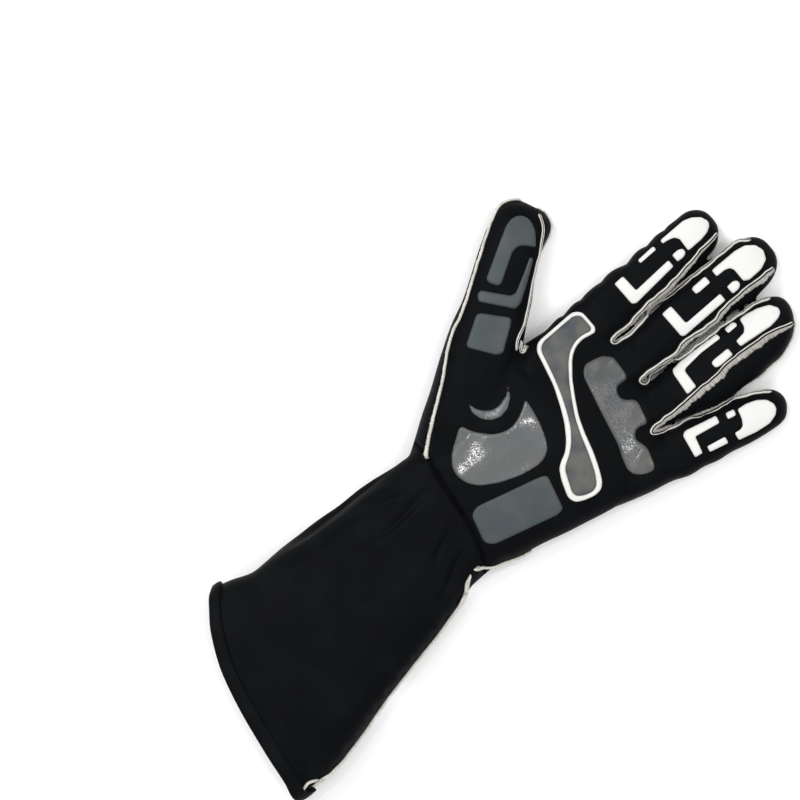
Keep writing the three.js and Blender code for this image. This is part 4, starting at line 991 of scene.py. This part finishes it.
# Corners of the grips' outlines in plan
FINGER_GRIPS = {
    "index": {
        "tip": [(-29, 194), (-32.6, 192.6), (-35.6, 189), (-37.2, 184.6), (-37.3, 169.5), (-35.3, 169.3),
                (-35.1, 171.6), (-34.0, 175.4), (-31.6, 177.2), (-24.3, 176.6), (-24.2, 185), (-25.0, 190),
                (-26.8, 193)],
        "dot": [(-27.9, 169), (-23.6, 169), (-23.5, 173.2), (-24.6, 175.2), (-26.8, 175.2), (-28, 173.2)],
        "bar": [(-37.2, 154.5), (-35.2, 154.5), (-35.2, 165), (-37.4, 165)],
        "bracket": [(-27.2, 166), (-23.2, 166), (-21.5, 140), (-22.8, 138), (-36, 138), (-36, 143.7),
                    (-26.4, 144)],
    },
    "middle": {
        "tip": [(0, 205.3), (-4.6, 203.8), (-7.8, 199.6), (-9.0, 194), (-9.3, 179), (-5.4, 178.8),
                (-5.2, 184), (-4.2, 186.6), (-2.2, 187.6), (5, 187.4), (6.6, 190), (6.5, 198),
                (4.4, 203.2)],
        "dot": [(1.8, 179.2), (6.5, 179.2), (6.5, 183.4), (5.0, 185.3), (3.0, 185.3), (1.7, 183.4)],
        "bar": [(-8.8, 165.3), (-5.6, 165.3), (-5.2, 167), (-5.2, 174.5), (-9.2, 174.5), (-9.2, 167)],
        "bracket": [(2.2, 174.5), (6.5, 174.5), (6.5, 147.4), (5.4, 146), (-9.2, 146), (-9.2, 152),
                    (1.6, 152), (2.2, 152.8)],
    },
    "ring": {
        "tip": [(26.5, 192), (22.6, 189.6), (19.9, 184), (18.3, 177), (18.2, 173.6), (22.4, 172.8),
                (24.6, 170.8), (25.2, 165), (28.7, 165), (30, 175), (31, 183), (30.4, 188.6), (28.8, 191.4)],
        "dot": [(17.0, 164.7), (19.8, 164.7), (19.8, 170.4), (18.6, 171.2), (17.0, 170.0)],
        "bar": [(25.4, 148.5), (28.4, 148.5), (29.3, 150.6), (29.3, 159.5), (25.2, 159.5), (24.9, 150.6)],
        "bracket": [(16.3, 160.3), (19, 160.3), (18.2, 148), (18.9, 137.4), (19.8, 136), (29.3, 135.3),
                    (29.3, 129.3), (17, 130.8), (15.2, 132), (14.8, 137), (15.3, 148)],
    },
    "little": {
        "tip": [(61, 159), (57.4, 157.6), (54.2, 153.8), (52.0, 148.4), (51.3, 143.4), (56.4, 141.8),
                (59.2, 140.0), (59.9, 138.0), (59.3, 134.5), (63.3, 133.8), (66, 143), (67.2, 151),
                (66.0, 155.8), (63.8, 158.4)],
        "dot": [(48.8, 137.5), (52, 136.5), (53, 141), (50, 142)],
        "bar": [(57.5, 129.7), (61, 129), (58.3, 119), (55.3, 119.7)],
        "bracket": [(46.7, 133.3), (50.5, 132.2), (47.7, 118.5), (56.3, 116), (55.5, 111.7), (43.4, 114.2),
                    (42.2, 116.5)],
    },
}
PALM_GRIPS = {
    "thumb_tip_grip": [
        (-94, 120), (-93.4, 123.6), (-91.2, 126.2), (-87.6, 127.4), (-82, 126), (-75, 120.5), (-78.2, 118.2),
        (-81.4, 114.6), (-81.4, 110.6), (-73, 95.8), (-73.2, 93.6), (-77, 91.2), (-79.6, 91.4),
        (-87, 105), (-93, 116)],
    "thumb_bracket_grip": [
        (-73.6, 115.2), (-71.8, 115.8), (-65, 106), (-59.2, 96.6), (-58.8, 92.6), (-73.6, 81.2), (-76.6, 83),
        (-77.2, 85.6), (-65.4, 95.0), (-64.6, 98), (-69.6, 108)],
    "thumb_root_grip": [(-56.4, 88.6), (-46.2, 73.6), (-47.8, 70.4), (-60.8, 61.4), (-70, 77)],
    "crescent_grip": [
        (-33, 65), (-27.5, 62), (-24, 57), (-23.3, 52), (-25, 47.4), (-29, 43.8), (-33.8, 42.5), (-38.5, 44),
        (-34, 45.3), (-31, 47.5), (-28.5, 51), (-28, 55), (-29.4, 61)],
    "thenar_grip": [
        (-22, 67), (-15, 66), (-8, 64.5), (0, 61.5), (4.2, 58.8), (6.5, 54.5), (7, 50), (5, 40), (1, 30),
        (-4, 22), (-9, 17.8), (-15, 16.2), (-20, 17.2), (-25, 21), (-29, 27), (-32.5, 32.5), (-32, 34.5),
        (-29, 35.5), (-25, 38), (-19.4, 43), (-16.6, 48), (-15.8, 53), (-17, 58), (-19.4, 63)],
    "heel_grip": [(11.6, 46), (13.6, 50.4), (31.5, 45.5), (32, 41.6), (22.5, 8), (18.5, 4.7), (4, 9),
                  (2.5, 13.5)],
    "knuckle_grip": [
        (-15.3, 101), (-14.5, 105), (-13, 110), (-9, 113.8), (2, 112.9), (4.0, 111), (3.3, 108), (3.6, 105),
        (6.6, 103.2), (9.6, 103.2), (11.8, 105), (13.6, 107.6), (16, 108.3), (26, 105.7), (27, 104),
        (25.8, 101), (25.8, 98.6), (27.6, 96.2), (30, 95.4), (33, 96.3), (36, 97), (45, 94), (46.8, 92),
        (46, 89), (44.5, 86), (42, 83.2), (38, 82.2), (33, 83.7), (25, 87), (10, 90.5), (-5, 94.5),
        (-11, 96), (-14, 98.5)],
}
BORDER_OUTLINE = [
    (-39, 113.4), (-36, 116.7), (-26, 116.7), (-24, 115), (-24.6, 112), (-25.6, 108), (-25, 103), (-22, 98),
    (-14, 91.1), (-6, 85.9), (2, 81.3), (10, 78.2), (20, 75.2), (28, 72), (34, 69), (36.6, 66), (37, 62),
    (35.2, 56), (33, 52), (29, 50.7), (20, 54), (15, 57), (13, 60), (11, 64.4), (7, 68.6), (0, 73.6),
    (-8, 77.7), (-18, 82), (-30, 85.2), (-36, 86.7), (-39, 90)]
BONE_OUTLINE = [
    (-37.3, 112), (-35, 115), (-27.4, 115), (-26, 113.8), (-27.3, 109), (-27.2, 104.4), (-25.2, 99.2),
    (-21.4, 94.9), (-14.4, 89.2), (-6.4, 84), (1, 79.6), (9, 76.2), (19, 72.8), (28, 69.2), (33.4, 65.8),
    (34.8, 62.6), (33.6, 58), (31, 54.4), (28, 54.2), (22, 56.8), (17.4, 58.8), (15.2, 61.8), (13, 65.8),
    (9, 70.4), (3.4, 74.8), (-4, 78.6), (-12, 82), (-19, 84.4), (-27, 86.7), (-35, 88.8), (-37.4, 92)]


def grip_mesh(name, outline, thickness, edge=GRIP_EDGE, hole=None, step=0.8):
    """A grip over its outline: a net of points inside, dropped on the cloth and raised along its
    normal by thickness * sqrt(1 - (1 - d/edge)^2), d the distance from the border, so the rim is
    round. A hole is left open. Sides and a bottom sunk in the cloth close it."""
    low, high = outline.min(axis=0), outline.max(axis=0)
    gx, gy = np.meshgrid(np.arange(low[0], high[0], step), np.arange(low[1], high[1], step * 0.87))
    gx = gx + (np.arange(gx.shape[0]) % 2)[:, None] * step * 0.5
    net = np.stack([gx.ravel(), gy.ravel()], axis=1)
    loops = [outline] if hole is None else [outline, hole]

    def depth(xy):
        """Distance inside the outline and outside the hole, whichever is less."""
        away = [signed_distance(xy, loop) * (1 if k == 0 else -1) for k, loop in enumerate(loops)]
        return np.minimum.reduce(away)

    net = net[depth(net) > step * 0.42]
    flat = np.vstack([*loops, net])
    ring, first = [], 0
    for loop in loops:
        count = len(loop)
        ring += [(first + i, first + (i + 1) % count) for i in range(count)]
        first += count
    made = delaunay_2d_cdt([tuple(p) for p in flat.tolist()], ring, [], 0, 1e-5, True)
    plan = np.array([tuple(v) for v in made[0]])
    tris = np.array(made[2])
    tris = tris[depth(plan[tris].mean(axis=1)) > 0]
    rim = np.clip(depth(plan) / edge, 0, 1)
    rise = thickness * np.sqrt(1 - (1 - rim) ** 2)
    here, normals = draped_with_normals(plan)
    top = here + normals * rise[:, None]
    bottom = here - normals * GRIP_BEDDING
    size = len(plan)
    faces = tris.tolist() + (tris[:, ::-1] + size).tolist() + rim_walls(tris, size).tolist()
    return make_mesh(name, np.vstack([top, bottom]), faces)


def grip_finish(name, base, deep, gloss, wrinkle=0.0, mottle=0.5):
    """Cast silicone: an even colour with faint cloudy patches and dust, a soft skin over the
    cloth's weave, and on the glossy ones fine wrinkles that break a highlight into sparks."""
    finish = Finish(name)
    cloud = finish.noise(finish.place(), 0.09, 3.0).between(0.3, 0.75)
    dust = finish.noise(finish.place(), 2.4, 4.0, 0.75).between(0.6, 0.82)
    tone = finish.mix(cloud * mottle, base, deep)
    tone = finish.mix(dust * 0.12, tone, colour(200, 202, 204))
    weave = knit(finish)
    creases = finish.noise(finish.place((0.9, 0.35, 1.0)), 1.35, 5.0, 0.72)
    fine = finish.noise(finish.place((1.6, 0.6, 1.0)), 1.5, 4.0, 0.75)
    height = weave * 0.12 + creases * (0.25 + wrinkle) + fine * wrinkle * 0.5
    sparkle = fine.between(0.49, 0.56) * wrinkle + 0.03 * wrinkle if wrinkle else 0.0
    return finish.surface({
        "Base Color": tone, "Roughness": gloss + cloud * 0.08 + dust * 0.1,
        "Normal": finish.bump(height, 0.11, 0.6), "Specular IOR Level": 0.22,
        "Coat Weight": sparkle, "Coat Roughness": 0.13})


white_silicone = grip_finish("white_silicone", colour(210, 209, 205), colour(206, 208, 210), 0.45)
dull_silicone = grip_finish(
    "dull_grey_silicone", colour(58, 66, 69), colour(73, 76, 74), 0.45, mottle=0.8)
ball_silicone = grip_finish(
    "ball_grey_silicone", colour(79, 86, 88), colour(86, 85, 81), 0.4, wrinkle=1.0, mottle=0.9)
knuckle_silicone = grip_finish(
    "knuckle_grey_silicone", colour(82, 82, 79), colour(60, 65, 69), 0.42, wrinkle=0.9, mottle=0.9)
bone_silicone = grip_finish(
    "bone_grey_silicone", colour(88, 87, 84), colour(58, 65, 70), 0.5, mottle=1.0)
border_silicone = grip_finish(
    "border_white_silicone", colour(212, 211, 207), colour(203, 202, 198), 0.4, mottle=0.3)


def add_grip(node, piece, finish):
    """Finishes a grip and puts it in the place of its node."""
    piece.data.materials.append(finish)
    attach(piece, "root")
    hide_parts(node)


for finger, shapes in FINGER_GRIPS.items():
    for kind, corners in shapes.items():
        grip = grip_mesh("%s_%s_silicone" % (finger, kind), rounded(corners, 0.9, 0.5),
                         GRIP_THICKNESS, 0.5, step=0.7)
        add_grip("%s_%s_grip" % (finger, kind), grip, white_silicone)
# Radii of the palm grips' corners where they aren't PALM_CORNER, and the glossier finishes
PALM_CORNER = 1.8
CORNER = {"thumb_root_grip": 2.6, "thumb_bracket_grip": 1.2, "heel_grip": 3.2, "crescent_grip": 1.0}
PALM_FINISH = {"thenar_grip": ball_silicone, "crescent_grip": ball_silicone,
               "knuckle_grip": knuckle_silicone}
for node, corners in PALM_GRIPS.items():
    outline = rounded(corners, CORNER.get(node, PALM_CORNER))
    grip = grip_mesh(node.replace("grip", "silicone"), outline, GRIP_THICKNESS, step=0.9)
    add_grip(node, grip, PALM_FINISH.get(node, dull_silicone))
bone_outline = rounded(BONE_OUTLINE, 2.2, 0.6)
border_outline = rounded(BORDER_OUTLINE, 2.4, 0.6)
border = grip_mesh("bone_border_silicone", border_outline, 0.85, 0.7, bone_outline, step=0.6)
add_grip("bone_border_grip", border, border_silicone)
bone = grip_mesh("bone_silicone", bone_outline, 0.5, 0.3, step=0.8)
add_grip("bone_grip", bone, bone_silicone)


# Hem. The cuff's mouth is bound with a strip of the same cloth, folded over the cut edge and
# stitched down with black thread.
HEM_SIDES = 260
STITCH_PITCH = 3.1
STITCH_INSET = 5.0


def cuff_section(angle, y):
    """Places on the cuff's smooth form at each angle and y, from the same superellipse as the body,
    with the table read at that y."""
    rows = np.array(LIMBS["cuff"])[::-1]
    left, right, height = (np.interp(y, rows[:, 1], rows[:, k]) for k in (0, 2, 4))
    across, z = section_curve(angle, height)
    return np.stack([(left + right) / 2 + (right - left) / 2 * across, y, z], axis=-1)


def hem_place(angle, along):
    """Where the band is at each angle, along millimetres up the cuff from its edge: y is solved
    from y = edge(x) + along by going round a few times."""
    y = np.full(np.broadcast(angle, along).shape, -135.0)
    for _ in range(12):
        x = cuff_section(angle, y)[..., 0]
        y = 0.4 * y + 0.6 * (np.interp(x, hem_path[:, 0], hem_path[:, 1]) + along)
    return cuff_section(angle, y)


def even_angles(count, along=0.0):
    """Angles that space the band's points evenly along its length."""
    fine = np.linspace(0, 2 * math.pi, 3001)
    at = hem_place(fine, np.full_like(fine, along))
    run = np.concatenate([[0], np.cumsum(np.linalg.norm(np.diff(at, axis=0), axis=1))])
    return np.interp(np.linspace(0, run[-1], count, endpoint=False), run, fine), run[-1]


def ring_normals(ring):
    """Outward normals of a ring of places, in the plane across the cuff."""
    ahead = unit(np.roll(ring, -1, axis=0) - np.roll(ring, 1, axis=0))
    return unit(np.cross(ahead, np.array([0.0, 1.0, 0.0])) * [1, 0, 1])


# The band's cross-section: along the cuff from its edge, and out from the cloth's outer face
HEM_PROFILE = [(6.9, -0.35), (6.8, 0.1), (6.4, 0.38), (5.9, 0.42), (5.3, 0.3), (4.6, 0.28), (3.9, 0.42),
               (2.4, 0.5), (1.1, 0.46), (0.4, 0.25), (0.0, -0.25), (-0.1, -0.8), (0.1, -1.4), (0.7, -1.8),
               (3.5, -1.9), (6.4, -1.8), (6.9, -1.5), (7.0, -1.0)]
hem_angles, hem_length = even_angles(HEM_SIDES)
hem_rings = []
hem_run = np.arange(HEM_SIDES) * hem_length / HEM_SIDES
for along, out in HEM_PROFILE:
    ring = hem_place(hem_angles, np.full(HEM_SIDES, float(along)))
    raised = out + 0.08 * ragged(hem_run, along, 23.0)
    hem_rings.append(ring + ring_normals(ring) * raised[:, None])
hem_points = np.stack(hem_rings, axis=0)
hem_points[..., 2] = np.maximum(hem_points[..., 2], 0)
hem = make_mesh("bound_hem", hem_points.reshape(-1, 3),
                grid_faces(len(HEM_PROFILE), HEM_SIDES, wrap_rows=True, wrap_columns=True))
hem_knit = cloth_finish("hem_knit", colour(8, 9.5, 11), colour(17, 19, 21))
hem.data.materials.append(hem_knit)
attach(hem, "root")
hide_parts("hem_band")


def thread_stitches(name, starts, ends, normals, radius, stand, columns=6):
    """Stitches as bent capsules: each runs from start to end, swelling from nothing and rising by
    stand in the middle, sin(pi t), with a round section."""
    t = np.linspace(0, 1, 7)
    bulge = np.sqrt(np.clip(1 - (2 * t - 1) ** 4, 0.03, 1))
    arch = np.sin(math.pi * t) * stand
    angle = np.linspace(0, 2 * math.pi, columns, endpoint=False)
    along = unit(ends - starts)
    side = unit(np.cross(normals, along))
    centre = (starts[:, None] + (ends - starts)[:, None] * t[None, :, None]
              + normals[:, None] * arch[None, :, None])
    out = (side[:, None, None] * np.cos(angle)[None, None, :, None]
           + normals[:, None, None] * np.sin(angle)[None, None, :, None])
    points = centre[:, :, None] + out * (radius * bulge)[None, :, None, None]
    one = grid_faces(7, columns, wrap_columns=True)
    offsets = np.arange(len(starts))[:, None, None] * 7 * columns
    faces = (one[None] + offsets).reshape(-1, 4).tolist()
    ring = np.arange(columns)
    for cap in (ring[::-1], ring + 6 * columns):
        faces += (cap[None] + offsets[:, :, 0]).tolist()
    return make_mesh(name, points.reshape(-1, 3), faces)


stitch_count = int(hem_length / STITCH_PITCH)
stitch_angles, _ = even_angles(stitch_count * 2, STITCH_INSET)
stitch_line = hem_place(stitch_angles, np.full(stitch_count * 2, STITCH_INSET))
stitch_normals = ring_normals(stitch_line)
stitch_line = stitch_line + stitch_normals * 0.25
hem_thread = thread_stitches("hem_stitches", stitch_line[0::2], stitch_line[1::2],
                             stitch_normals[0::2], radius=0.26, stand=0.3)


def thread_finish(name, dark, pale):
    """Twisted polyester thread: dark, with a fine slanted twist and a slight shine."""
    finish = Finish(name)
    x, y, z = finish.axes(finish.place())
    twist = ((x + y + z) * 9.0).sine() * 0.5 + 0.5
    tone = finish.mix(twist * 0.6 + finish.noise(finish.place(), 1.5) * 0.3, dark, pale)
    return finish.surface({"Base Color": tone, "Roughness": 0.5 + twist * 0.1, "Specular IOR Level": 0.35,
                           "Normal": finish.bump(twist, 0.06, 0.6)})


hem_thread.data.materials.append(thread_finish("black_thread", colour(24, 26, 28), colour(52, 55, 58)))
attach(hem_thread, "root")


# Studio. A plain near-white floor under large soft lamps, and a camera straight above, turned as
# the photograph was.
FLOOR_HALF = 3000
FLOOR_DROP = 0.25


def flat_finish(name, tone):
    """Dull paper: one tone with a faint grey grain."""
    finish = Finish(name)
    grain = finish.noise(finish.place(), 0.4, 3.0)
    return finish.surface({"Base Color": finish.mix(grain * 0.02, tone, colour(230, 230, 232)),
                           "Roughness": 0.9, "Specular IOR Level": 0.1})


corners = [(x * FLOOR_HALF, y * FLOOR_HALF, -FLOOR_DROP) for x, y in ((-1, -1), (1, -1), (1, 1), (-1, 1))]
floor = make_mesh("studio_floor", corners, [[0, 1, 2, 3]], smooth=False)
floor.data.materials.append(flat_finish("studio_paper", colour(255, 255, 255)))

# The soft lamps: where each hangs in metres as the picture shows it (right, up, towards the
# camera), its width and its power
TURN = math.radians(49)
LAMPS = [("key", (-1.0, 1.0, 1.5), 1.0, 25), ("fill", (1.0, 0.3, 1.7), 1.2, 11),
         ("low", (0.2, -1.1, 1.6), 1.2, 9)]
# The small lamps that spark in the glossy grips: the place on the glove whose normal sends their
# light up to the camera, their width and their power
SPARKS = [("ball_spark", (-17.0, 31.0), 0.12, 2.4), ("ball_spark_high", (-11.5, 61.0), 0.1, 1.8),
          ("knuckle_spark", (32.0, 91.0), 0.12, 2.0)]
SPARK_DISTANCE = 1.7


def add_lamp(name, place, width, power):
    """A square lamp of this width in metres that faces the middle of the glove."""
    data = bpy.data.lights.new(name, "AREA")
    data.shape = "SQUARE"
    data.size = width
    data.energy = power
    lamp = bpy.data.objects.new(name, data)
    lamp.location = place
    aim = Vector((-place[0], 0.02 - place[1], -place[2]))
    lamp.rotation_euler = aim.to_track_quat("-Z", "Y").to_euler()
    bpy.context.scene.collection.objects.link(lamp)


for lamp_name, (right, up, height), width, power in LAMPS:
    east = right * math.cos(TURN) - up * math.sin(TURN)
    north = right * math.sin(TURN) + up * math.cos(TURN)
    add_lamp(lamp_name, (east, north, height), width, power)
for lamp_name, spot, width, power in SPARKS:
    on_grip = draped(np.array([[*spot, DROP_HEIGHT]]))
    normal = skin_normals(on_grip, spread=4.0)[0]
    mirror = 2 * normal[2] * normal - np.array([0, 0, 1.0])
    add_lamp(lamp_name, tuple((on_grip[0] * MM + mirror * SPARK_DISTANCE).tolist()), width, power)
bpy.data.objects.remove(skin)

world = bpy.data.worlds.new("studio_air")
world.use_nodes = True
world.node_tree.nodes["Background"].inputs["Color"].default_value = (1, 1, 1, 1)
world.node_tree.nodes["Background"].inputs["Strength"].default_value = 0.5
bpy.context.scene.world = world

camera_data = bpy.data.cameras.new("camera")
camera_data.sensor_width = 36
camera_data.lens = 270
camera = bpy.data.objects.new("camera", camera_data)
camera.location = (-0.0623, 0.0197, 3.0)
camera.rotation_euler = (0, 0, TURN)
bpy.context.scene.collection.objects.link(camera)
bpy.context.scene.camera = camera
bpy.context.scene.view_settings.view_transform = "Standard"
